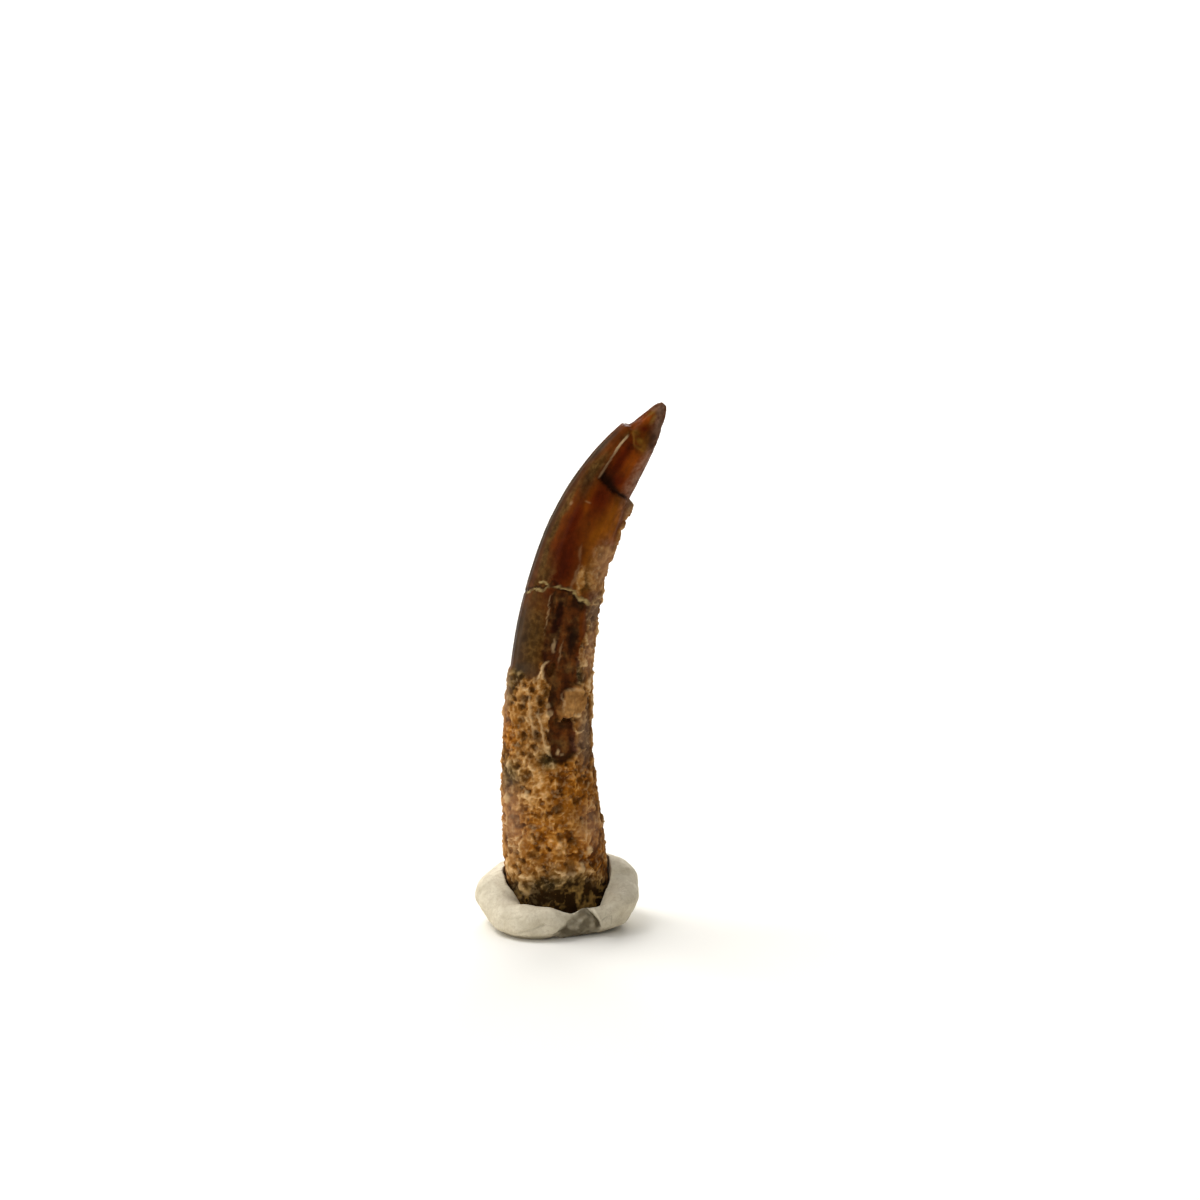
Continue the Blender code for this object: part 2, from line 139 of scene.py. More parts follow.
def bare_tooth(along, bearing):
    """Points of the tooth's smooth form, and their outward directions."""
    point, way = spine_at(np.interp(along, SPINE_LENGTHS, SPINE_STEPS))
    half = half_width_at(along)
    turn = np.radians(bearing)
    across, forward = np.cos(turn), np.sin(turn)
    x = point[..., 0] + way[..., 1] * half * across
    z = point[..., 1] - way[..., 0] * half * across
    y = SPINE_Y - half * DEPTH_SHARE * forward
    out_x = way[..., 1] * across * DEPTH_SHARE
    out_z = -way[..., 0] * across * DEPTH_SHARE
    outward = np.stack([out_x, -forward + 0 * out_x, out_z], -1)
    outward /= np.linalg.norm(outward, axis=-1, keepdims=True)
    return np.stack([x, y, z], -1), outward


# ---- Noise ----

CORNERS = np.indices((2, 2, 2)).reshape(3, -1).T
NEIGHBOURS = np.indices((3, 3, 3)).reshape(3, -1).T - 1


def dice(cell, seed):
    """A steady random number from 0 to 1 for each whole-number cell."""
    x, y, z = (cell[..., axis].astype(np.int64) for axis in range(3))
    mixed = (x * 73856093) ^ (y * 19349663) ^ (z * 83492791) ^ (seed * 40503 + 9973)
    mixed = ((mixed ^ (mixed >> 13)) & 0xFFFFFF) * 1274126177 & 0xFFFFFFFF
    mixed = ((mixed ^ (mixed >> 15)) & 0xFFFFFF) * 668265263 & 0xFFFFFFFF
    return ((mixed ^ (mixed >> 16)) & 0xFFFF) / 0xFFFF


def noise(places, size, seed):
    """Smooth noise from -1 to 1, with features about size across."""
    spot = places / size
    cell = np.floor(spot)
    part = spot - cell
    ease = part**3 * (part * (part * 6 - 15) + 10)
    total = 0.0
    for corner in CORNERS:
        weight = np.prod(np.where(corner == 1, ease, 1 - ease), axis=-1)
        total += weight * dice(cell + corner, seed)
    return 2 * total - 1


def rough(places, size, seed, layers=3):
    """Noise with finer and weaker layers on top, from about -1 to 1."""
    total = 0.0
    for layer in range(layers):
        total += noise(places, size / 2**layer, seed + 17 * layer) / 2**layer
    return total / 1.4


def waves(places, layers, seed, step=1):
    """The sum of layers of noise, each a (size, reach), their seeds a step apart."""
    return sum(
        reach * noise(places, size, seed + step * layer)
        for layer, (size, reach) in enumerate(layers)
    )


def winding(places, size, seed, width=0.24):
    """Thin winding ridges, 1 on their crests, as far apart as size."""
    return fall(0, width, np.abs(noise(places, size, seed)))


def cells(places, size, seed, jitter=1.0):
    """Distances to the nearest and second nearest of scattered points, in sizes, and the
    nearest one's own random number. A jitter of 0 sets the points in an even grid."""
    spot = places / size
    base = np.floor(spot)
    first = np.full(spot.shape[:-1], 9.0)
    second = first.copy()
    own = np.zeros_like(first)
    for offset in NEIGHBOURS:
        cell = base + offset
        thrown = np.stack([dice(cell, seed + axis) for axis in range(3)], -1)
        point = cell + 0.5 + jitter * (thrown - 0.5)
        distance = np.linalg.norm(point - spot, axis=-1)
        closer = distance < first
        second = np.where(closer, first, np.minimum(second, distance))
        own = np.where(closer, dice(cell, seed + 3), own)
        first = np.minimum(first, distance)
    return first, second, own


# ---- The tooth's surface: what lies on it and what is gone from it ----

# The sandy crust reaches up to this line, as (bearing, length along).
CRUST_LINE = curve_through(
    (0, 17.2), (28, 16.4), (42, 15.2), (47, 12.4), (49, 8.6), (66, 7.9), (84, 8.2), (94, 11.9),
    (104, 12.6), (118, 11.9), (140, 12.2), (160, 11.9), (182, 11.7), (205, 12.9), (240, 11.2),
    (275, 13.6), (315, 15), (345, 18.6), period=360
)
CRUST_EDGE = 0.16
CRUST_THICKNESS = 0.075
PATCH_RELIEF = 0.4  # the share of the crust's fine relief that its patches carry

# An oval on the flank is (length along, bearing, half length in mm, half width in degrees). A mark
# is an oval and how far it stands out; then, if given, how strongly it is coloured and how many
# degrees it leans for each mm up.
MARK_END = (1, 0)  # the last two, if they are not given
ZONE_SOFTNESS = 0.8  # the share of an oval over which a soft zone fades

# The rough tan scab on the window's right edge, and the lobe on its left.
SCAB = (11.01, 49.5, 0.7, 18.5)
SCAB_LOBE = (10.55, 67, 0.36, 7.5)
SCAB_HEIGHT = 0.15
SCAB_POWER = 2.4  # above 2, so that the scab is a little square
SCAB_FADE = 0.16
SCAB_LOBE_FADE = 0.3

# Patches of crust above the crust's line.
CRUST_PATCHES = (
    (17.85, 26, 1.2, 36, 0.045), (17.1, 70, 0.7, 8, 0.02, 1, 4), (18.75, 42, 0.35, 20, 0.05),
    (18.8, 3, 0.5, 22, 0.17), (19.65, 5, 0.4, 15, 0.16), (20.35, 1, 0.3, 15, 0.2),
    (20.85, 6, 0.18, 12, 0.17), (21.25, 4, 0.36, 19, 0.27), (20.1, 12, 0.22, 9, 0.1),
    (20, 330, 1.1, 18, 0.13), (22.7, 318, 0.5, 22, 0.1),
)

# The root is bare and dark below this line, as (bearing, length along).
ROOT_LINE = curve_through(
    (0, 1.7), (40, 1.85), (75, 2.3), (110, 2.05), (150, 2.05), (200, 1.9), (280, 2.5), period=360
)
ROOT_FADE = (-0.45, 0.4)
ROOT_HOLLOW = 0.35  # how far the middle of the root face is sunk
ROOT_RIM = 0.16  # how far up the spine its rim lies, but for its jags
# The oval in which the base swells on its left, and how far.
HEEL = (0.9, 178, 1.95, 52)
HEEL_RISE = 0.27

# Enamel has flaked off in a field below the tip: from the step up to the top line, both given as
# (bearing, length along), and inward from the broken edge of the plate that is left.
FLAKE_EDGE = 112
FLAKE_STEP = curve_through((-60, 21.35), (20, 21.62), (65, 21.72), (112, 22.02))
FLAKE_TOP = curve_through(
    (-60, 24.5), (32, 24.33), (61, 24.2), (82, 24.18), (95, 24.36), (113, 24.6)
)
FLAKE_DEPTH = 0.26
FLAKE_INNER_FADE = (-25, 55)
SHOULDER = 24.62
SHOULDER_DEPTH = curve_through(
    (24.6, 0.27), (24.95, 0.33), (25.27, 0.36), (25.6, 0.26), (26, 0.17), (26.3, 0.09), (26.6, 0)
)
SHOULDER_BACK_EDGE = 238
CAP_RISE = 0.05
LIP = 0.06  # the length over which a broken edge drops
EDGE_BREAK = (23.05, 1.8)  # the length along at which the plate's broken edge jumps, and how far
# That edge is a slope, so many degrees wide, which widens upward and runs out above the shoulder.
SLOPE = 0.2
SLOPE_WIDENING = (22.7, 24.4, 3.6)
SLOPE_RUN_OUT = (24.5, 24.9, 40)
# The broken edge is painted pale: partly its own colour, partly a painted highlight on its slope.
# The lengths along at which the pale edge begins, ends and grows stronger.
PALE_BEGIN = (21.95, 22.1)
PALE_END = (24.2, 24.55)
PALE_GROWTH = (22.9, 23.8)
# The inner edge stands out a little below the tip.
INNER_SWELL = curve_through(
    (21.6, 0), (22.5, 0.09), (24, 0.15), (25.1, 0.08), (25.6, 0.06), (26.2, 0)
)

# The cross crack, as (bearing, length along), its short second branch, and its half width.
CRACK = curve_through(
    (-62, 16.5), (-20, 16.1), (21, 16), (42, 16), (53, 16.15), (66, 16.33), (74, 16.55), (89, 16.56),
    (100, 16.6), (110, 16.57), (118, 16.42), (126, 16.2), (141, 16.15), (155, 15.87), (185, 15.7),
    (232, 16)
)
CRACK_ENDS = (-62, 232)
BRANCH = curve_through((112, 16.56), (119, 16.55), (128, 16.6), (138, 16.52))
BRANCH_ENDS = (112, 138)
CRACK_HALF_WIDTHS = curve_through((-60, 0.07), (20, 0.13), (62, 0.16), (85, 0.1), (230, 0.08))

# Below the crack the enamel is gone from a window that shows dark dentine. Its edges are given as
# (length along, bearing).
WINDOW_LEFT = curve_through((7.6, 88), (8.6, 92), (11, 95), (12.6, 97), (14, 106), (16.6, 108))
WINDOW_RIGHT = curve_through((7.6, 58), (8.3, 46), (12, 46), (14, 50), (16.2, 50))
WINDOW_FOOT = 7.9
WINDOW_DEPTH = 0.12

# Holes deeper than the rest, and a sunk line of painted shadow, as marks whose height is their depth.
HOLES_AND_SHADOW = (
    (12.58, 89, 0.34, 5.5, 0.22, 1, -4), (11.5, 92, 0.2, 5, 0.16), (14.05, 94, 0.15, 6, 0.1),
    (3.65, 115, 0.24, 7.5, 0.2), (4.15, 66, 0.16, 5.5, 0.16), (4.4, 80, 0.18, 5, 0.18),
    # The mark at 10.16 along on the next line is the painted shadow under the scab's lower edge.
    (2.85, 72, 0.5, 6, 0.12), (10.16, 58, 0.11, 16, 0.16), (5.82, 81, 0.24, 7, 0.1),
    (11.05, 125, 0.17, 4.5, 0.16), (11.1, 100, 0.15, 4.5, 0.16), (10.6, 101, 0.15, 4.5, 0.15),
    (9.3, 124, 0.18, 5, 0.17), (9.25, 101, 0.22, 5, 0.18), (10.05, 126, 0.16, 5, 0.15),
    (8.45, 112, 0.14, 4, 0.14), (8.2, 87, 0.12, 4, 0.12), (7.55, 113, 0.16, 3.5, 0.14),
    (7.05, 47, 0.13, 6, 0.14), (6.05, 57, 0.2, 5, 0.13), (19.95, 89, 0.1, 3, 0.03, 0.5),
)
# Dark stains in the window and on the enamel, and bands of painted shade, none of them sunk.
# The bands of painted shade lie just above the flaked step and just under the cap's rim.
STAINS_AND_SHADE = (
    (14.15, 62, 0.75, 8, 0), (15.95, 68, 0.35, 15, 0, 0.8), (15.2, 93, 1, 3.5, 0, 0.7),
    (15.6, 103, 0.9, 3, 0, 0.6), (11.2, 84, 0.55, 6, 0, 0.7), (9.3, 88, 0.7, 4, 0, 0.6),
    (9.9, 66, 0.25, 14, 0, 0.7), (8.15, 68, 0.28, 15, 0, 0.9), (13.2, 74, 0.5, 4, 0, 0.5),
    (21.55, 128, 0.75, 13, 0, 0.55, 12), (21.58, 55, 0.26, 18, 0, 0.45), (22.3, 100, 0.6, 20, 0, 0.4),
    (20.1, 92, 0.5, 4, 0, 0.25, 14), (17.6, 104, 1.1, 8, 0, 0.35, 2), (24.12, 82, 0.12, 22, 0, 0.55),
    (24.88, 38, 0.28, 15, 0, 0.6), (25, 62, 0.22, 12, 0, 0.4), (24.95, 112, 0.22, 12, 0, 0.35),
    (13.6, 136, 1.1, 16, 0, 0.25), (13.8, 174, 1.8, 14, 0, 0.45), (7.1, 152, 0.4, 14, 0, 0.35),
)
# Pale grains and thin ridges that stand out of the crust, the window and the enamel.
CHIPS = (
    (3.5, 46, 0.2, 4, 0.12), (2.72, 59, 0.26, 2.5, 0.06, 0.8), (6.56, 118, 0.14, 3.5, 0.08, 0.7),
    (6.24, 152, 0.2, 5, 0.07, 0.7), (10.47, 89, 0.16, 5, 0.1, 0.6), (10.85, 91, 0.12, 3.5, 0.08, 0.5),
    (13.75, 91, 0.3, 3, 0.03, 0.4), (13.45, 79, 0.6, 1.2, 0.02, 0.2), (8.56, 77, 0.15, 2.4, 0.06, 0.65),
    (8.42, 71, 0.08, 3, 0.04, 0.3), (1.75, 130, 0.1, 6.5, 0.04, 0.35, 10),
    (2.05, 138, 0.13, 3, 0.04, 0.35, -8), (1.5, 142, 0.09, 5, 0.04, 0.35),
    (2.25, 124, 0.08, 4, 0.04, 0.25), (11.62, 52, 0.07, 13, 0.02, 0.35), (11, 69, 0.45, 1.4, 0.02, 0.35),
    (12.52, 102, 0.4, 2.4, 0.07, 0.9, -16), (9.65, 97, 0.95, 1.9, 0.06, 0.55, 7),
    (8.55, 89, 0.22, 2.2, 0.05, 0.5, 22), (10.35, 113, 1.1, 2, 0.05, 0.45, 5),
    (20.8, 105, 0.05, 5, 0.004, 0.16), (20.4, 134, 0.1, 3.5, 0.004, 0.22),
    (18.45, 84, 0.35, 2.4, 0.004, 0.1, 6), (17.3, 80, 0.65, 2.6, 0.004, 0.14),
    (15.2, 107.6, 0.95, 0.8, 0.02, 0.3),
)

# Crust texture: a net of pits in rough columns, scattered pits, broken winding ridges, lumps
# and grain.
NET_COLUMNS = 15  # round the tooth
NET_TURN = 8  # how far the first column is turned from bearing 0
NET_ROW = 0.6
NET_JITTER = 0.65
NET_PIT_RADII = (0.08, 0.34)
NET_PIT_DEPTH = 0.1
NET_RIDGE = (0.0, 0.3, 0.035)  # where a ridge between pits starts and ends, and its height
PIT_SPACING = 0.38
PIT_DEPTH = 0.085
PIT_RADII = (0.1, 0.46)
WIND_SIZES = ((0.52, 0.3, 0.08), (0.27, 0.32, 0.05))  # (size, width, height) of ridges
LUMP_SIZE = 0.8
LUMP_HEIGHT = 0.06
HOLLOW_SIZE = 0.42
HOLLOW_DEPTH = 0.06
GRAIN_SIZE = 0.14
GRAIN_HEIGHT = 0.035
SWIRLS = ((0.45, 0.14, 40), (0.18, 0.08, 45))  # (size, reach, seed) of what warps the crust
# Dark hollows and pale crests are partly the crust's colour, partly painted shade and highlight.
LIFT_RANGE = (-0.095, 0.125)  # the heights between which the crust turns from dark to pale

# Layers of noise that make edges ragged or wander round the tooth: (size, reach in mm or degrees).
CRUST_RAGS = ((1.3, 0.4), (0.45, 0.25), (0.2, 0.14))
CRUST_WANDER = ((0.9, 5), (0.35, 4))
FLAKE_RAGS = ((0.5, 0.06), (0.16, 0.03))
WINDOW_WANDER = ((0.8, 4.5), (0.3, 4.0))
SCAB_RAGS = ((0.8, 0.26), (0.25, 0.2), (0.11, 0.09))
SCAB_WANDER = ((0.5, 5), (0.2, 4))
MARK_RAGS = ((0.3, 0.05), (0.12, 0.03))
CRACK_RAGS = ((0.4, 0.08), (0.15, 0.05))
ZONE_RAGS = ((1.1, 0.24), (0.4, 0.14))
ROOT_RAGS = ((1.0, 0.14), (0.35, 0.07))

# The fine relief of each kind of surface: its height, the size of its bumps and its seed.
RELIEFS = {
    "window": (0.05, 0.45, 133),
    "cap": (0.08, 0.5, 134),
    "flake": (0.012, 0.3, 135),
    "scab": (0.11, 0.35, 136),
    "root": (0.05, 0.5, 137),
}
CRACK_FILLING = 0.05
GROOVE_DEPTH = 0.035

# The ovals where the net of pits is strongest.
NET_PLACES = ((9.9, 124, 2.6, 38), (9, 225, 4, 45), (7.6, 150, 1.5, 25))

# The ovals where the colours turn.
ZONES = dict(
    red=(
        (25.07, 88, 0.2, 14), (17.9, 107, 1.9, 16), (19.6, 112, 1.3, 11), (21.1, 88, 0.9, 22),
        (23.4, 96, 1.2, 15), (22.4, 75, 0.5, 26), (18.6, 262, 2.2, 14), (21.5, 230, 1.4, 13),
    ),
    amber=(
        (20.2, 46, 1.6, 18), (19.5, 62, 1, 12), (17.6, 62, 1.4, 13), (23.2, 55, 1.2, 18),
        (25.9, 118, 0.25, 18), (25.65, 82, 0.18, 10), (24.66, 104, 0.16, 13), (24.42, 80, 0.13, 17),
        (20.9, 104, 0.5, 12), (20.2, 300, 1.8, 14), (17.6, 232, 1.3, 10),
    ),
    olive=(
        (18.6, 142, 3.6, 7), (17, 128, 0.7, 14), (13.8, 128, 2.2, 26), (17.2, 58, 0.7, 15),
        (22.2, 128, 1, 14), (1.9, 142, 0.8, 28), (24.4, 108, 0.5, 14), (16.6, 205, 2.4, 18),
        (15.6, 262, 1.6, 24), (21.8, 268, 1.2, 16), (19, 330, 2, 14),
    ),
    # Grey is partly the tooth's own grey and olive, partly a painted sheen along the enamel's side edges.
    grey=(
        (13.9, 158, 1.7, 20), (19.4, 170, 4.4, 20), (23, 160, 1.3, 14), (23, 14, 1.7, 26),
        (25.5, 32, 0.7, 26), (26.25, 75, 0.42, 60), (15.7, 27, 0.9, 17), (12.4, 142, 0.5, 26),
        (7.4, 150, 0.8, 19), (11.5, 163, 0.9, 17), (8.2, 88, 0.45, 12), (9.2, 32, 1.2, 15),
        (1.9, 95, 0.7, 60), (12.5, 52, 0.5, 12), (6.5, 250, 1.6, 24), (12.4, 285, 1.2, 18),
    ),
    rust=(
        (25.25, 128, 0.75, 26), (25.62, 103, 0.3, 13), (9.2, 152, 0.9, 16), (6.6, 60, 1.5, 40),
        (4.6, 95, 1.6, 34), (3.2, 45, 1.2, 30), (5, 210, 2.2, 40), (8, 300, 2, 34),
    ),
    # Pink is partly pinkish dust, partly painted sheen at the flanks' edges and a painted highlight on
    # the tip.
    pink=(
        (5.6, 150, 1.5, 22), (9.3, 34, 1.3, 16), (4.5, 32, 1, 18), (18.2, 22, 1.1, 28), (14, 25, 1.6, 16),
        (22.8, 22, 1.8, 20), (25.85, 58, 0.45, 22), (26.3, 85, 0.25, 70), (15.6, 26, 1.1, 18),
        (10.8, 168, 1.2, 12),
    ),
)


def turned_from(bearing, centre):
    """How far a bearing is from another, from -180 to 180."""
    return (bearing - centre + 180) % 360 - 180


def unwound(bearing):
    """A bearing as one from -90 to 270, which has its jump at the back."""
    return turned_from(bearing, 90) + 90


def spot(along, bearing, oval, soft=ZONE_SOFTNESS, power=2):
    """1 in the middle of an oval on the flank, 0 outside it, with a soft rim; a power above 2
    squares the oval."""
    centre_along, centre_bearing, half_length, half_width = oval
    up = np.abs(along - centre_along) / half_length
    across = np.abs(turned_from(bearing, centre_bearing)) / half_width
    reach = (up**power + across**power) ** (1 / power)
    return fall(1 - soft, 1 + soft, reach)


def marks_at(marks, along, bearing, soft):
    """The strongest cover and the greatest height of some marks."""
    cover = np.zeros_like(along)
    height = np.zeros_like(along)
    for mark in marks:
        *oval, rise, strength, lean = mark + MARK_END[len(mark) - 5 :]
        here = spot(along, bearing - lean * (along - oval[0]), oval, soft)
        cover = np.maximum(cover, strength * here)
        height = np.maximum(height, rise * here)
    return cover, height


def zone(ovals, along, bearing):
    """How much of a soft zone is at each place: 0 to 1."""
    return np.max([spot(along, bearing, oval) for oval in ovals], axis=0)


def near_line(along, bearing, line, ends, half_width):
    """1 on a line that crosses the tooth, 0 beyond its half width or past its ends."""
    turned = unwound(bearing)
    inside = smooth(ends[0], ends[0] + 4, turned) * fall(ends[1] - 4, ends[1], turned)
    return inside * fall(0.45, 1.0, np.abs(along - line(turned)) / half_width)


def crust_fields(along, bearing, places):
    """Where the crust lies, the bare root, and the crust's height, pits and lift."""
    ragged = waves(places, CRUST_RAGS, 5, step=0)
    wander = waves(places, CRUST_WANDER, 31)
    edge = CRUST_LINE(bearing + wander) + ragged
    cover = fall(-CRUST_EDGE, CRUST_EDGE, along - edge)
    height = cover * CRUST_THICKNESS
    patches, raised = marks_at(CRUST_PATCHES, along + 0.3 * ragged, bearing + 0.6 * wander, 0.3)
    relief = np.maximum(cover, PATCH_RELIEF * patches)
    cover = np.maximum(cover, patches)
    height = np.maximum(height, raised)
    patchy = 0.6 * ragged + 0.22 * noise(places, 0.5, 33)
    root = fall(*ROOT_FADE, along - ROOT_LINE(bearing) - patchy)
    relief *= 1 - 0.6 * root
    texture, pits = crust_texture(along, bearing, places)
    lift = smooth(*LIFT_RANGE, texture - 0.4 * LUMP_HEIGHT * noise(places, LUMP_SIZE, 70))
    crumbly = 0.52 + 0.3 * rough(places, 0.22, 34, 2) + 0.12 * noise(places, 0.7, 35)
    lift += 0.75 * smooth(0.3, 0.8, patches) * (crumbly - lift)
    return cover, root, height * (1 - 0.5 * root) + relief * texture, pits, lift


def crust_texture(along, bearing, places):
    """The height of the crust's fine relief, and its pits."""
    swirl = sum(
        reach * np.stack([noise(places, size, seed + axis) for axis in range(3)], -1)
        for size, reach, seed in SWIRLS
    )
    near, _, own = cells(places + swirl, PIT_SPACING, 50)
    pits = fall(*PIT_RADII, near) * smooth(0.4, 0.85, own)
    texture = -PIT_DEPTH * pits
    texture -= HOLLOW_DEPTH * smooth(0.05, 0.55, noise(places + swirl, HOLLOW_SIZE, 58))
    for number, (size, width, rise) in enumerate(WIND_SIZES):
        broken = 0.25 + 0.75 * smooth(-0.5, 0.3, noise(places, 0.8 * size, 65 + number))
        texture += rise * broken * winding(places + swirl, size, 60 + number, width)

    net = zone(NET_PLACES, along, bearing)
    columns = (bearing + NET_TURN) * NET_COLUMNS / 360
    grid = np.stack([columns, along / NET_ROW, 0 * along + 0.5], -1) + swirl / NET_ROW
    near, second, own = cells(grid, 1.0, 55, NET_JITTER)
    net_pits = fall(*NET_PIT_RADII, near) * smooth(0, 0.4, own)
    start, end, rise = NET_RIDGE
    ridge = fall(start, end, second - near)
    netted = rise * ridge - NET_PIT_DEPTH * net_pits + 0.6 * texture - 0.012
    texture += net * (netted - texture)
    pits += net * (net_pits - pits)

    texture += LUMP_HEIGHT * rough(places, LUMP_SIZE, 70, 2)
    return texture + GRAIN_HEIGHT * rough(places, GRAIN_SIZE, 80, 2), pits


def flake_fields(along, bearing, places):
    """The bare field below the tip: its cover, depth, pale broken edge, shade, cap and rim."""
    turned = unwound(bearing)
    ragged = waves(places, FLAKE_RAGS, 90)
    step = FLAKE_STEP(turned) + ragged
    top = FLAKE_TOP(turned) + ragged
    slope = SLOPE
    for start, end, more in (SLOPE_WIDENING, SLOPE_RUN_OUT):
        slope += more * smooth(start, end, along)
    edge = FLAKE_EDGE + 22 * ragged + EDGE_BREAK[1] * smooth(-0.04, 0.04, along - EDGE_BREAK[0])
    above = smooth(0, LIP, along - step)
    below_cap = fall(0, LIP, along - top)
    left = fall(edge - 1, edge + slope, turned)
    right = smooth(*FLAKE_INNER_FADE, turned)
    cover = above * left
    run_out = 1 - 0.5 * smooth(step, top, along)
    depth = FLAKE_DEPTH * run_out * cover * right
    cap = smooth(-LIP, LIP, along - top) * (turned < SHOULDER_BACK_EDGE)
    depth -= CAP_RISE * cap * left * right * fall(24.9, 26.0, along)
    # The pale edge: its own colour and partly a painted highlight.
    pale = smooth(edge - 2, edge + 0.3 * slope, turned)
    pale *= fall(edge + slope, edge + slope + 2, turned)
    pale *= smooth(*PALE_BEGIN, along) * fall(*PALE_END, along + 2 * ragged)
    pale *= (0.35 + 0.45 * smooth(*PALE_GROWTH, along)) * (1 + 4 * ragged)
    shade_height = 0.28 + 0.42 * smooth(40, 95, turned)
    shade = cover * fall(0.25 * shade_height, shade_height, along - step + 2 * ragged)
    shade *= smooth(8, 30, turned)

    beyond = smooth(0, LIP, along - SHOULDER - ragged)
    beyond *= smooth(FLAKE_EDGE - 36, FLAKE_EDGE + 62, turned)
    beyond *= fall(SHOULDER_BACK_EDGE - 16, SHOULDER_BACK_EDGE, turned)
    depth += SHOULDER_DEPTH(along) * beyond
    depth -= INNER_SWELL(along) * np.clip(np.cos(np.radians(bearing)), 0, None)
    # A pale line along the cap's lower edge: partly its colour, partly a painted highlight on the lip.
    rim = near_line(along - ragged, bearing, FLAKE_TOP, (20, 118), 0.09)
    rim *= smooth(-0.4, 0.6, noise(places, 0.35, 92))
    soft_cap = smooth(-0.28, 0.22, along - top + 0.25 * noise(places, 0.6, 93))
    return cover * below_cap, depth, pale, shade, np.maximum(soft_cap * left, beyond), rim


def window_field(along, bearing, places):
    """1 where the enamel is gone below the crack."""
    at = bearing + waves(places, WINDOW_WANDER, 100)
    inside = smooth(0, 3.5, at - WINDOW_RIGHT(along)) * fall(-2, 2, at - WINDOW_LEFT(along))
    top = CRACK(unwound(bearing)) - 0.02
    inside *= fall(-LIP, 0, along - top)
    return inside * smooth(0, 0.3, along - WINDOW_FOOT - 0.3 * noise(places, 0.4, 102))


def surface(along, bearing):
    """The finished surface's points, in mm, and the fields that the material reads."""
    places, outward = bare_tooth(along, bearing)
    cover, root, crust, pits, lift = crust_fields(along, bearing, places)
    flake, flake_depth, pale, shade, cap, cap_rim = flake_fields(along, bearing, places)
    scab_at = along + waves(places, SCAB_RAGS, 110), bearing + waves(places, SCAB_WANDER, 113)
    scab = spot(*scab_at, SCAB, SCAB_FADE, SCAB_POWER)
    scab = np.maximum(scab, spot(*scab_at, SCAB_LOBE, SCAB_LOBE_FADE))
    window = window_field(along, bearing, places) * (1 - cover) * (1 - scab)
    crack, groove = crack_fields(along, bearing, places)
    wobble = waves(places, MARK_RAGS, 120)
    mark_at = along + wobble, bearing + 40 * wobble
    holes_and_shadow, hole_depth = marks_at(HOLES_AND_SHADOW, *mark_at, 0.4)
    chips, chip_height = marks_at(CHIPS, *mark_at, 0.45)
    stains_and_shade, _ = marks_at(STAINS_AND_SHADE, along + 3 * wobble, bearing + 90 * wobble, 0.65)

    near_tip = smooth(23.0, 25.2, along)
    ridges = (1 - near_tip) * np.sin(np.radians(bearing) * 23 + 1.5 * noise(places, 2.0, 130))
    enamel = 0.008 * ridges + 0.012 * noise(places, 1.6, 131) + 0.006 * rough(places, 0.3, 132)
    # Noise that is drawn out along the tooth.
    streaks = rough(on_circle(bearing, 2, along / 7), 0.42, 170) * (1 - near_tip)
    bare = (1 - cover) * (1 - scab)
    drift = waves(places, ZONE_RAGS, 160)
    fields = dict(
        crust=cover, root=root, pits=np.maximum(pits * cover, holes_and_shadow), lift=lift, flake=flake,
        streaks=0.5 + 0.5 * streaks, pale_edge=pale, shade=shade, cap=cap, cap_rim=cap_rim,
        scab=scab, window=window, crack=crack * bare, crack_shade=groove * bare, chips=chips,
        stains_and_shade=stains_and_shade,
    )
    for name, ovals in ZONES.items():
        fields[name] = zone(ovals, along + drift, bearing + 24 * drift)

    height = crust * (1 - scab) + SCAB_HEIGHT * scab + bare * enamel
    height = height - flake_depth - window * (WINDOW_DEPTH - 0.02 * streaks)
    height += bare * (CRACK_FILLING * crack - GROOVE_DEPTH * groove)
    height = height - hole_depth + chip_height + HEEL_RISE * spot(along, bearing, HEEL)
    for name, (rise, size, seed) in RELIEFS.items():
        height += rise * fields[name] * rough(places, size, seed)
    return places + outward * height[..., None], fields


def crack_fields(along, bearing, places):
    """The pale crumbs that fill the cross crack, and the dark groove beside them."""
    turned = unwound(bearing)
    wobble = waves(places, CRACK_RAGS, 124)
    uneven = 0.6 * noise(places, 0.25, 123) + 0.5 * noise(places, 0.1, 128)
    half = CRACK_HALF_WIDTHS(turned) * (1 + uneven)
    crack = near_line(along + wobble, bearing, CRACK, CRACK_ENDS, half)
    branch = near_line(along + wobble, bearing, BRANCH, BRANCH_ENDS, 0.8 * half)
    crumbs = smooth(-0.8, 0.2, noise(places, 0.3, 122)) * (0.66 + 0.34 * noise(places, 0.11, 126))
    shadow_side = 0.07 * np.where(turned > 102, -1, 1)
    groove = near_line(along + wobble + shadow_side, bearing, CRACK, CRACK_ENDS, 1.8 * half)
    return np.maximum(crack, branch) * crumbs, groove


def on_circle(bearing, radius, height):
    """Points round an upright circle, where noise has no seam."""
    turn = np.radians(bearing)
    columns = radius * np.cos(turn), radius * np.sin(turn), height
    return np.stack(np.broadcast_arrays(*columns), -1)


def ring_places():
    """The lengths along the spine at which the flank has its rings, from root to tip."""
    along = np.linspace(ROOT, TIP, 4000)
    gap = np.interp(along, *zip(*RING_GAPS))
    count = np.cumsum([0, *(np.diff(along) / gap[:-1])])
    return np.interp(np.linspace(0, count[-1], round(count[-1])), count, along)


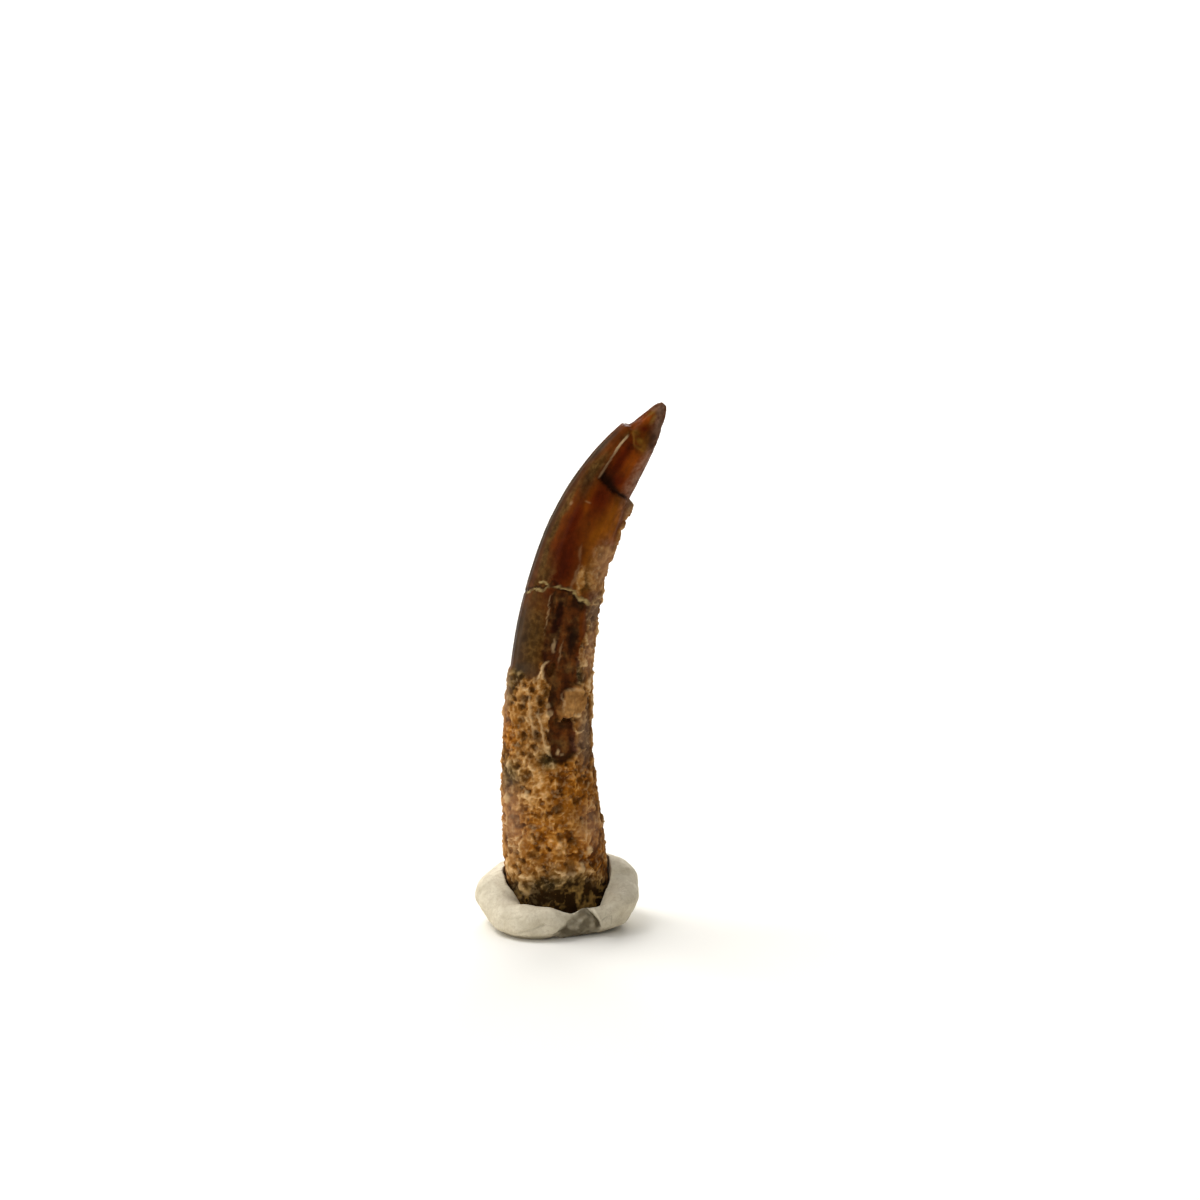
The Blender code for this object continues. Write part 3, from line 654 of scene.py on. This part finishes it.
def loft(name, rings, closed_start, closed_end):
    """A closed mesh through a (rings, sides, 3) array of points in mm, capped by two points."""
    count, sides = rings.shape[:2]
    points = np.concatenate([rings.reshape(-1, 3), [closed_start], [closed_end]]) * MM
    here = np.arange(count * sides).reshape(count, sides)
    beside = np.roll(here, -1, axis=1)
    walls = np.stack([here[:-1], beside[:-1], beside[1:], here[1:]], -1).reshape(-1, 4)
    start = np.stack([beside[0], here[0], np.full(sides, count * sides)], -1)
    end = np.stack([here[-1], beside[-1], np.full(sides, count * sides + 1)], -1)
    mesh = bpy.data.meshes.new(name)
    mesh.from_pydata(points.tolist(), [], walls.tolist() + start.tolist() + end.tolist())
    mesh.update()
    return mesh


def add_field(mesh, name, values):
    """Keeps a number for each vertex on the mesh, for a material to read by name."""
    made = mesh.attributes.new(name, "FLOAT", "POINT")
    made.data.foreach_set("value", np.asarray(values, np.float32))


def add_object(name, data):
    """A new object in the scene, with its mesh, light or camera."""
    made = bpy.data.objects.new(name, data)
    bpy.context.scene.collection.objects.link(made)
    return made


def make_tooth():
    """The tooth, from the middle of its root face out to the jagged rim and up to the tip."""
    bearing = np.arange(SIDES) * 360.0 / SIDES
    rim = ROOT + ROOT_RIM + waves(on_circle(bearing, 2.2, 3.3), ROOT_RAGS, 140)
    share = (ring_places()[:-1, None] - ROOT) / (TIP - ROOT)
    along = rim + share * (TIP - rim)
    flank, fields = surface(along, np.broadcast_to(bearing, along.shape))

    middle = np.array([SPINE[0][0], SPINE_Y, SPINE[0][1]])
    share = (np.arange(1, ROOT_RINGS + 1) / (ROOT_RINGS + 1))[:, None, None]
    face = middle + (flank[0] - middle) * share
    share = share[..., 0]
    relief = 0.06 * rough(face, 0.6, 150) * (1 - share) + 0.02 * rough(face, 0.2, 151)
    face[..., 2] += ROOT_HOLLOW * fall(0.44, 0.67, share) + relief

    rings = np.concatenate([face, flank])
    ends = middle + (0, 0, ROOT_HOLLOW), flank[-1].mean(axis=0)
    floor_gap = rings[..., 2].min() - TOOTH_LOW.z / MM
    rings[..., 2] -= floor_gap * fall(0, 3.0, rings[..., 2])
    mesh = loft("tooth_fossil", rings[:, ::-1], *ends)
    for name, values in fields.items():
        on_face = np.ones_like(face[..., 0]) if name == "root" else np.zeros_like(face[..., 0])
        whole = np.concatenate([on_face, values])[:, ::-1].ravel()
        add_field(mesh, name, np.concatenate([whole, [on_face[0, 0], values[-1, 0]]]))
    mesh.shade_smooth()
    return add_object("tooth_fossil", mesh)


# ---- The putty ring ----

PUTTY_VOXEL = 0.055
PUTTY_SMOOTHING = 10
SEAT_REACH = 1.45  # how far out from the tooth the putty is drawn in, in shares of its half width
# The share of the gap that is left, by the direction from the tooth.
SEAT_GAP = curve_through(
    (0, 0.15), (180, 0.05), (200, 0.2), (212, 0.6), (230, 0.75), (246, 0.85), (300, 0.95), (335, 0.95),
    (348, 0.35), period=360
)
# By the same direction, how far the wall is opened, as a share of the tooth's half width.
SEAT_OPENING = curve_through(
    (0, 0), (192, 0), (210, 0.15), (220, 0.15), (234, 0.05), (250, 0), (300, 0), (316, 0.08), (332, 0.12),
    (346, 0.04), (356, 0), period=360
)
FOOT_RISE = 0.42  # how high the underside of the roll curves up from the floor
FOOT_SHARE = 0.5  # the share of the roll's width that rests on the floor
FOOT_SECTORS = 60
# By the direction from the tooth, in degrees from +X: how far the roll's lower half is pushed out,
# and how far the rim at the front is raised.
FOOT_PUSH = curve_through(
    (15, -0.18), (80, 0), (185, -0.08), (208, -0.1), (240, 0.34), (254, 0.34), (265, 0.34), (282, 0.3),
    (297, 0.06), (312, -0.26), (340, -0.28), period=360
)
RIM_LIFT = curve_through(
    (192, 0), (205, -0.12), (217, -0.2), (227, -0.08), (238, 0.08), (262, 0.15), (288, 0.14), (312, 0)
)
# Where it was pressed or bulges: (height, direction, half height, half turn) and the push outward.
PRESSES = (
    (1.85, 0, 0.65, 45, 0.16), (0.75, 0, 0.65, 45, -0.16), (0.6, 200, 0.55, 30, -0.14),
    (1.9, 60, 0.6, 40, 0.08), (0.9, 110, 0.7, 25, -0.12), (1.6, 150, 0.6, 35, 0.08),
)

# The front, where the roll's ends are pinched together, as (x, z) seen from the front. The left
# end runs out above this line, and the right end begins at this x for a height.
LEFT_END = curve_through(
    (-1.56, -0.3), (-1.07, 0.1), (-0.64, 0.46), (-0.35, 0.72), (0, 0.98), (0.32, 1.14), (0.6, 1.45)
)
RIGHT_END = curve_through((0, 1.72), (0.45, 1.58), (0.74, 1.42), (1.03, 1.1), (1.33, 0.71))
PINCH_START = (-1.3, -0.5)  # the x between which the pinched part begins
PINCH_DEPTH = 0.3
# Lines in the front, in the same terms, with their half width and how far they stand out.
FRONT_LINES = (
    (((0.71, 1.48), (1.12, 1.22), (1.4, 0.9), (1.5, 0.6)), 0.12, 0.06),
    (((0.7, 1.34), (0.95, 1.16), (1.12, 1), (1.34, 0.71), (1.43, 0.5)), 0.11, -0.1),
    (((0.3, 1), (0.62, 0.96), (1.02, 0.82)), 0.1, 0.06),
    (((0.66, 0.68), (0.74, 0.56)), 0.16, -0.07), (((1.22, 0.62), (1.3, 0.46)), 0.14, -0.06),
    (((-0.45, 0.36), (-0.15, 0.42), (0.1, 0.28)), 0.12, -0.06),
    (((0.1, 0.62), (0.4, 0.48), (0.95, 0.36)), 0.1, 0.05),
    (((-3.8, 0.38), (-3.2, 0.3), (-2.5, 0.36), (-1.7, 0.6), (-1.2, 0.78)), 0.06, -0.035),
    (((1.48, 0.74), (1.8, 0.93), (2.1, 0.95), (2.13, 0.56)), 0.04, -0.05),
    (((1.78, 0.72), (2.02, 0.7)), 0.15, 0.03),
    (((-3.3, 1.1), (-2.9, 0.95), (-2.2, 1.02)), 0.05, -0.02),
    (((2.35, 1.75), (2.75, 1.45), (3.05, 1.55)), 0.05, -0.02),
)


def read_rows(items, name):
    """What each of a mesh's items holds under a name, as rows of three numbers."""
    rows = np.empty(len(items) * 3)
    items.foreach_get(name, rows)
    return rows.reshape(-1, 3)


def make_putty():
    """The CAD ring, remeshed fine and rounded, drawn in against the tooth and dented by hand."""
    putty = add_object("putty_ring_pressed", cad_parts["putty_ring"].data.copy())
    remesh = putty.modifiers.new("fine", "REMESH")
    remesh.mode = "VOXEL"
    remesh.voxel_size = PUTTY_VOXEL * MM
    rounded = putty.modifiers.new("rounded", "SMOOTH")
    rounded.factor = 0.5
    rounded.iterations = PUTTY_SMOOTHING
    graph = bpy.context.evaluated_depsgraph_get()
    fine = bpy.data.meshes.new_from_object(putty.evaluated_get(graph))
    putty.modifiers.clear()
    putty.data = fine

    places = read_rows(fine.vertices, "co") / MM
    normals = read_rows(fine.vertex_normals, "vector")
    pinch, lines = front_marks(places, normals)
    places = drawn_in(pushed_out(foot_rounded(places)))
    places[:, 1] += PINCH_DEPTH * pinch * smooth(0, 0.5, places[:, 2])
    dents = 0.05 * rough(places, 1.1, 200, 2) + 0.012 * rough(places, 0.3, 201, 2)
    dents += 0.07 * pinch * rough(places, 0.35, 204, 2)
    dents -= 0.02 * winding(places, 1.5, 202) + 0.008 * winding(places, 0.5, 203)
    off_floor = smooth(0.02, 0.35, places[:, 2])
    places += normals * (dents * off_floor + lines)[:, None]
    places[:, 2] = np.maximum(places[:, 2], PUTTY_LOW.z / MM)
    fine.vertices.foreach_set("co", (places * MM).ravel())
    fine.update()
    fine.shade_smooth()
    # Dirt and painted shade in the pinch; painted shade in sunk creases and along the foot.
    soil_and_shade = pinch * (0.65 + 0.5 * rough(places, 0.28, 205, 2)) - 5 * np.minimum(lines, 0)
    soil_and_shade = np.maximum(soil_and_shade, 0.6 * fall(0.02, 0.32, places[:, 2]))
    add_field(fine, "soil_and_shade", np.clip(soil_and_shade, 0, 0.9))
    return putty


def line_distance(x, z, points):
    """How far points of the front are from a line through others."""
    nearest = np.full(len(x), 9.0)
    for (start_x, start_z), (end_x, end_z) in zip(points, points[1:]):
        way_x, way_z = end_x - start_x, end_z - start_z
        share = ((x - start_x) * way_x + (z - start_z) * way_z) / (way_x**2 + way_z**2)
        share = np.clip(share, 0, 1)
        off = np.hypot(x - start_x - share * way_x, z - start_z - share * way_z)
        nearest = np.minimum(nearest, off)
    return nearest


def front_marks(places, normals):
    """Where the front is pinched in, from 0 to 1, and how far its creases and folds stand out."""
    x, z = places[:, 0], places[:, 2]
    front = smooth(0, 0.5, SPINE_Y - 1.2 - places[:, 1])
    uneven = 0.1 * rough(places, 0.4, 206, 2)
    blend = 0.14 + 0.4 * fall(0.1, 0.7, z)
    pinch = smooth(0, 0.26, LEFT_END(x) + uneven - z)
    pinch *= smooth(0, 1.0, (RIGHT_END(z) + uneven - x) / blend)
    pinch *= smooth(*PINCH_START, x)
    facing = smooth(0.1, 0.5, -normals[:, 1])
    lines = np.zeros(len(x))
    for points, half_width, rise in FRONT_LINES:
        near = fall(0.2, 1.0, line_distance(x, z, points) / half_width)
        lines += rise * near * facing * front
    return pinch * front, lines


def foot_rounded(places):
    """The putty's points, with its foot drawn in from both sides and let down to the floor."""
    x, y = places[:, 0] - SPINE[0][0], places[:, 1] - SPINE_Y
    radius = np.hypot(x, y)
    turn = np.degrees(np.arctan2(y, x)) % 360
    sector = (turn / 360 * FOOT_SECTORS).astype(int)
    low = places[:, 2] < FOOT_RISE + 0.15
    groups = [low & (sector == number) for number in range(FOOT_SECTORS)]
    lowest = [places[here, 2].min() for here in groups]
    middles = np.array([(radius[here].min() + radius[here].max()) / 2 for here in groups])
    middles = (np.roll(middles, 1) + 2 * middles + np.roll(middles, -1)) / 4
    bearings = (np.arange(FOOT_SECTORS) + 0.5) * 360 / FOOT_SECTORS
    core = np.interp(turn, bearings, middles, period=360)
    share = 1 - (1 - FOOT_SHARE) * fall(0, FOOT_RISE, places[:, 2])
    scale = (core + (radius - core) * share) / radius
    lift = np.interp(turn, bearings, lowest, period=360)
    side = fall(20, 45, np.abs(turned_from(turn, 0)))
    lift *= np.maximum(side, fall(-0.25, 0.1, radius - core))
    moved = places.copy()
    moved[:, 0] = SPINE[0][0] + x * scale
    moved[:, 1] = SPINE_Y + y * scale
    moved[:, 2] -= 1.1 * lift * fall(0.35, 1.4, places[:, 2])
    return moved


def pushed_out(places):
    """The putty's points, with its lower half moved out or in and the front's rim raised."""
    x, y, z = places[:, 0] - SPINE[0][0], places[:, 1] - SPINE_Y, places[:, 2]
    turn = np.degrees(np.arctan2(y, x)) % 360
    push = FOOT_PUSH(turn) * fall(0.1, 1.5, z)
    for *oval, rise in PRESSES:
        push += rise * spot(z, turn, oval)
    push *= smooth(2.3, 3.1, np.hypot(x, y / DEPTH_SHARE))
    moved = places.copy()
    moved[:, 0] += push * np.cos(np.radians(turn))
    moved[:, 1] += push * np.sin(np.radians(turn))
    moved[:, 2] += RIM_LIFT(turn) * smooth(0.5, 1.1, z)
    return moved


def drawn_in(places):
    """The putty's points, with those near the tooth moved in until they nearly touch it."""
    level = np.clip(places[:, 2], SPINE[0][1], None)
    spine, _ = spine_at(SPINE_STEPS)
    centre_x = np.interp(level, spine[:, 1], spine[:, 0])
    half = half_width_at(np.interp(level, spine[:, 1], SPINE_LENGTHS)) + 0.04
    across = (places[:, 0] - centre_x) / half
    forward = (places[:, 1] - SPINE_Y) / (half * DEPTH_SHARE)
    reach = np.hypot(across, forward)
    turn = np.degrees(np.arctan2(forward, across)) % 360
    kept = SEAT_GAP(turn)
    share = np.clip((reach - 1) / (SEAT_REACH - 1), 0, 1)
    wanted = 1 + (SEAT_REACH - 1) * (share * kept + (1 - kept) * share**2)
    wanted += SEAT_OPENING(turn) * (1 - share) ** 2
    scale = np.where(reach < SEAT_REACH, wanted / reach, 1.0)
    moved = places.copy()
    moved[:, 0] = centre_x + (places[:, 0] - centre_x) * scale
    moved[:, 1] = SPINE_Y + (places[:, 1] - SPINE_Y) * scale
    return moved


# ---- Materials ----


class Shader:
    """The node tree of a material or world, with short ways to add the nodes used here. A value
    in it is a constant, another node's output or the name of a field kept on the mesh."""

    def __init__(self, owner):
        owner.use_nodes = True
        self.owner = owner
        self.tree = owner.node_tree

    def node(self, kind, output, inputs=(), **settings):
        """The output of a new node, its inputs given by name or in order."""
        made = self.tree.nodes.new("ShaderNode" + kind)
        for name, value in settings.items():
            setattr(made, name, value)
        self.feed(made, inputs)
        return made.outputs[output]

    def feed(self, node, inputs):
        """Sets a node's inputs, or links them."""
        for key, value in inputs.items() if isinstance(inputs, dict) else enumerate(inputs):
            if isinstance(value, str):
                value = self.node("Attribute", "Fac", attribute_name=value)
            if isinstance(value, bpy.types.NodeSocket):
                self.tree.links.new(value, node.inputs[key])
            else:
                node.inputs[key].default_value = value

    def texture(self, scale, detail, roughness=0.55, distortion=0.0):
        """Noise in the object's space, with scale features to the metre."""
        names = "Vector", "Scale", "Detail", "Roughness", "Distortion"
        where = self.node("TexCoord", "Object")
        inputs = dict(zip(names, (where, scale, detail, roughness, distortion)))
        return self.node("TexNoise", "Fac", inputs)

    def spread(self, value, low, high, to_low=0.0, to_high=1.0):
        """value from low to high, spread over to_low to to_high."""
        inputs = value, low, high, to_low, to_high
        return self.node("MapRange", "Result", inputs, clamp=True)

    def maths(self, operation, first, second=0.5):
        """A sum, product or the like of two numbers."""
        return self.node("Math", "Value", (first, second), operation=operation)

    def times(self, first, second):
        return self.maths("MULTIPLY", first, second)

    def mix(self, share, first, second, how="MIX"):
        """A blend of two colours."""
        inputs = {"Factor": share, "A": first, "B": second}
        return self.node("Mix", "Result", inputs, data_type="RGBA", blend_type=how)

    def over(self, colour, *layers):
        """A colour with layers laid over it, each a (share, colour)."""
        for share, laid in layers:
            colour = self.mix(share, colour, laid)
        return colour

    def shaded(self, colour, value):
        """A colour, darker or lighter by a number around 1."""
        grey = self.node("CombineColor", "Color", (value, value, value))
        return self.mix(1.0, colour, grey, "MULTIPLY")

    def ramp(self, value, places, colours):
        """A colour for each value, through colours at places."""
        colour = self.node("ValToRGB", "Color", {"Fac": value})
        band = colour.node.color_ramp
        while len(band.elements) < len(places):
            band.elements.new(0.5)
        for element, place, stop in zip(band.elements, places, colours):
            element.position = place
            element.color = stop
        return colour

    def bump(self, height, strength, depth):
        """The normals of a relief that is finer than the mesh, its depth in mm."""
        inputs = {"Height": height, "Strength": strength, "Distance": depth * MM}
        return self.node("Bump", "Normal", inputs)

    def finished(self, inputs, last="Principled BSDF"):
        """The material or world, with the inputs of its last node."""
        self.feed(self.tree.nodes[last], inputs)
        return self.owner


def new_material(name):
    return Shader(bpy.data.materials.new(name))


def tone(red, green, blue):
    """A colour as seen on a screen, from 0 to 255, as the linear one that shaders use."""
    values = np.array([red, green, blue]) / 255
    linear = np.where(values <= 0.04045, values / 12.92, ((values + 0.055) / 1.055) ** 2.4)
    return (*linear.tolist(), 1.0)


ENAMEL_BROWN = tone(92, 42, 4)
ENAMEL_AMBER = tone(126, 68, 6)
ENAMEL_RED = tone(76, 22, 1)
ENAMEL_OLIVE = tone(72, 46, 12)
# Grey of the enamel's side edges, partly a painted sheen.
ENAMEL_GREY = tone(66, 50, 34)
DENTINE = tone(108, 46, 4)
DENTINE_DARK = tone(44, 15, 3)
DENTINE_BROWN = tone(96, 50, 14)
DENTINE_DUN = tone(112, 82, 42)
CAP_GREY = tone(98, 70, 52)
CAP_ORANGE = tone(138, 64, 8)
CAP_RIM = tone(124, 84, 26)
SHADE = tone(20, 7, 1)
SAND_DARK = tone(76, 44, 10)
SAND_PALEST = tone(220, 184, 134)
OLIVE_PALE = tone(130, 108, 70)
# The crust's tones from its pits to its crests: sandy, rusty and olive.
# Dark hollows and pale crests are partly the crust's colour, partly painted shade and highlight.
LIFT_PLACES = (0.06, 0.4, 0.72, 0.98)
SAND_TONES = (
    (SAND_DARK, tone(134, 86, 32), tone(182, 136, 80), SAND_PALEST),
    (tone(86, 44, 6), tone(146, 86, 18), tone(186, 126, 54), tone(222, 170, 110)),
    (tone(44, 34, 16), tone(84, 65, 32), OLIVE_PALE, SAND_PALEST),
)
# Pinkish dust, and painted sheen and highlight.
PINK = tone(160, 122, 98)
PIT_BROWN = tone(62, 36, 8)
SCAB_TAN = tone(176, 128, 72)
SCAB_BROWN = tone(132, 88, 42)
ROOT_DARK = tone(46, 29, 10)
ROOT_SPECK = tone(170, 132, 70)
CRACK_PALE = tone(166, 142, 92)
EDGE_PALE = tone(190, 162, 122)


def tooth_material():
    """Waxy brown enamel, dark dentine, sandy crust and bare root, by the mesh's own fields."""
    shader = new_material("fossil_tooth")
    spread, times, mix = shader.spread, shader.times, shader.mix
    over, shaded = shader.over, shader.shaded
    specks = shader.texture(9000, 3)
    grains = shader.texture(4200, 3)
    mottle = shader.texture(1700, 4)
    clouds = times(spread(mottle, 0.3, 0.7, 0.74, 1.26), spread(grains, 0.3, 0.7, 0.86, 1.14))
    drawn = times(clouds, spread("streaks", 0.2, 0.8, 0.84, 1.16))

    enamel = over(
        ENAMEL_BROWN,
        ("amber", ENAMEL_AMBER),
        ("olive", ENAMEL_OLIVE),
        ("red", ENAMEL_RED),
        (times("olive", spread(grains, 0.42, 0.62, 0, 0.4)), DENTINE_DUN),
        ("grey", ENAMEL_GREY),
    )
    sand, rust, olive = (shader.ramp("lift", LIFT_PLACES, tones) for tones in SAND_TONES)
    sand = over(
        sand,
        ("rust", rust),
        ("grey", olive),
        (spread(mottle, 0.5, 0.72, 0, 0.6), SAND_DARK),
        (spread(grains, 0.5, 0.75, 0, 0.35), SAND_PALEST),
    )
    sand = shaded(sand, spread(specks, 0.3, 0.7, 0.86, 1.14))
    flaked = over(
        DENTINE,
        (times("amber", 0.25), ENAMEL_AMBER),
        ("red", ENAMEL_RED),
        (times("grey", spread(grains, 0.35, 0.65, 0.5, 1.0)), CAP_GREY),
    )
    cap = over(
        ENAMEL_BROWN,
        ("grey", CAP_GREY),
        ("rust", CAP_ORANGE),
        ("amber", CAP_RIM),
        ("red", ENAMEL_RED),
        (spread(mottle, 0.42, 0.65, 0, 0.5), DENTINE_DARK),
    )
    window = over(
        DENTINE_DARK,
        (spread("streaks", 0.3, 0.8), DENTINE_BROWN),
        (spread(mottle, 0.5, 0.7, 0, 0.5), DENTINE_DUN),
    )
    scab = mix(spread(mottle, 0.35, 0.65), SCAB_TAN, SCAB_BROWN)
    root = over(
        ROOT_DARK,
        (spread("lift", 0.4, 1.0), ROOT_SPECK),
        (times("olive", spread(grains, 0.45, 0.6, 0, 0.7)), OLIVE_PALE),
    )
    colour = over(
        shaded(enamel, drawn),
        ("flake", shaded(flaked, drawn)),
        ("cap", shaded(cap, clouds)),
        (times("cap_rim", 0.5), CAP_RIM),
        ("window", shaded(window, spread(grains, 0.3, 0.7, 0.55, 1.45))),
        (times("pink", spread(grains, 0.36, 0.64, 0.08, 0.5)), PINK),
        # Stains, and painted shade above the step and under the cap's rim.
        (times("stains_and_shade", 0.85), SHADE),
        (times("crack_shade", 0.6), SHADE),
        ("crack", CRACK_PALE),
        ("crust", mix(times("pink", 0.35), sand, PINK)),
        ("scab", shaded(scab, spread(grains, 0.3, 0.7, 0.75, 1.2))),
        ("root", root),
        # The painted shadow under the scab comes in with the pits.
        (times("pits", 0.55), PIT_BROWN),
        (times("shade", 0.9), SHADE),
        ("pale_edge", EDGE_PALE),
        (times("chips", 0.85), SAND_PALEST),
    )

    roughness = spread(shader.maths("MAXIMUM", "crust", "root"), 0, 1, 0.4, 0.85)
    inputs = {
        "Base Color": colour,
        "Roughness": shader.maths("ADD", roughness, spread(grains, 0.3, 0.7, -0.05, 0.08)),
        "Specular IOR Level": 0.025,
        "Sheen Weight": 0.05,
        "Sheen Roughness": 0.4,
        "Sheen Tint": (1.0, 0.94, 0.9, 1.0),
        "Normal": shader.bump(specks, 0.3, 0.02),
    }
    return shader.finished(inputs)


FLOOR_WHITE = (0.92, 0.9, 0.84, 1.0)
PUTTY_TONE = tone(216, 206, 182)
PUTTY_DUN = tone(196, 184, 158)
PUTTY_SPECK = tone(170, 152, 124)
# The tone of dirt and painted shade on the putty.
PUTTY_SOIL_AND_SHADE = tone(92, 80, 54)


def putty_material():
    """Matte pale grey cream, a little mottled, with dirt and painted shade at the pinch."""
    shader = new_material("putty")
    spread = shader.spread
    mottled = shader.texture(1900, 5, 0.65)
    speckled = shader.texture(7000, 3)
    veined = shader.maths("SUBTRACT", shader.texture(1500, 4, 0.5, 0.8))
    colour = shader.over(
        PUTTY_TONE,
        (spread(mottled, 0.35, 0.65), PUTTY_DUN),
        (spread(shader.maths("ABSOLUTE", veined), 0.0, 0.02, 0.35, 0.0), PUTTY_SPECK),
        (spread(speckled, 0.5, 0.7, 0, 0.3), PUTTY_SPECK),
        ("soil_and_shade", PUTTY_SOIL_AND_SHADE),
    )
    bump = shader.bump(mottled, 0.5, 0.04)
    return shader.finished({"Base Color": colour, "Roughness": 0.82, "Normal": bump})


def floor_material():
    """Plain white card."""
    inputs = {"Base Color": FLOOR_WHITE, "Roughness": 0.9, "Specular IOR Level": 0.1}
    return new_material("white_card").finished(inputs)


# ---- Stage, light and camera ----

# Here sizes and places are in metres. The soft boxes are (name, place, size, power), and the
# light comes mostly from above and behind.
SOFT_BOXES = (
    ("high_left", (-0.273, 0.158, 0.451), 0.35, 2.2),
    ("back", (0.0, 0.476, 0.275), 0.35, 2.2),
    ("low_left", (-0.466, -0.269, 0.114), 0.35, 1.05),
)
# The heights in the view between which the world's strength falls, and from and to how much.
WORLD_FADE = (0.0, 0.08, 0.95, 0.38)
LIGHT_TARGET = Vector((0.0, 0.0, 0.012))
FLOOR_REACH = 3.0
CAMERA_TARGET = Vector((1.432, 3.405, 15.08)) * MM
CAMERA_DISTANCE = 338.8 * MM
CAMERA_ELEVATION = math.radians(12.5)
CAMERA_LENS = 210.9


def make_floor():
    """A wide white floor under the object."""
    reach = (-FLOOR_REACH, FLOOR_REACH)
    mesh = bpy.data.meshes.new("floor")
    mesh.from_pydata([(x, y, 0) for y in reach for x in reach], [], [(0, 1, 3, 2)])
    mesh.materials.append(floor_material())
    floor = add_object("floor", mesh)
    floor.location.z = PUTTY_LOW.z


def make_light(name, place, size, power):
    """A square soft box at a place, that faces the object."""
    light = bpy.data.lights.new(name, "AREA")
    light.shape = "SQUARE"
    light.size = size
    light.energy = power
    lamp = add_object(name, light)
    lamp.location = place
    way = LIGHT_TARGET - lamp.location
    lamp.rotation_euler = way.to_track_quat("-Z", "Y").to_euler()


def make_world():
    """A white surround that is palest at the horizon and dimmer overhead."""
    shader = Shader(bpy.data.worlds.new("studio"))
    where = shader.node("TexCoord", "Generated")
    up = shader.node("SeparateXYZ", "Z", (where,))
    inputs = {"Color": (1.0, 1.0, 1.0, 1.0), "Strength": shader.spread(up, *WORLD_FADE)}
    bpy.context.scene.world = shader.finished(inputs, "Background")


def make_camera():
    """The camera, level across, looking down at the object from the front."""
    camera = bpy.data.cameras.new("camera")
    camera.lens = CAMERA_LENS
    camera.sensor_width = 36.0
    camera.clip_start = 0.01
    camera.clip_end = 10.0
    seen_from = add_object("camera", camera)
    back = Vector((0.0, -math.cos(CAMERA_ELEVATION), math.sin(CAMERA_ELEVATION)))
    seen_from.location = CAMERA_TARGET + back * CAMERA_DISTANCE
    seen_from.rotation_euler = (math.pi / 2 - CAMERA_ELEVATION, 0.0, 0.0)
    bpy.context.scene.camera = seen_from


def make_stage():
    """Everything that isn't the object."""
    make_floor()
    make_world()
    for light in SOFT_BOXES:
        make_light(*light)
    make_camera()
    bpy.context.scene.view_settings.view_transform = "Standard"


def main():
    tooth = make_tooth()
    tooth.data.materials.append(tooth_material())
    putty = make_putty()
    putty.data.materials.clear()
    putty.data.materials.append(putty_material())
    for piece, node, slot in ((tooth, "tooth", "fossil_tooth"), (putty, "putty_ring", "putty")):
        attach(piece, "root")
        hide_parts(node)
    make_stage()


main()
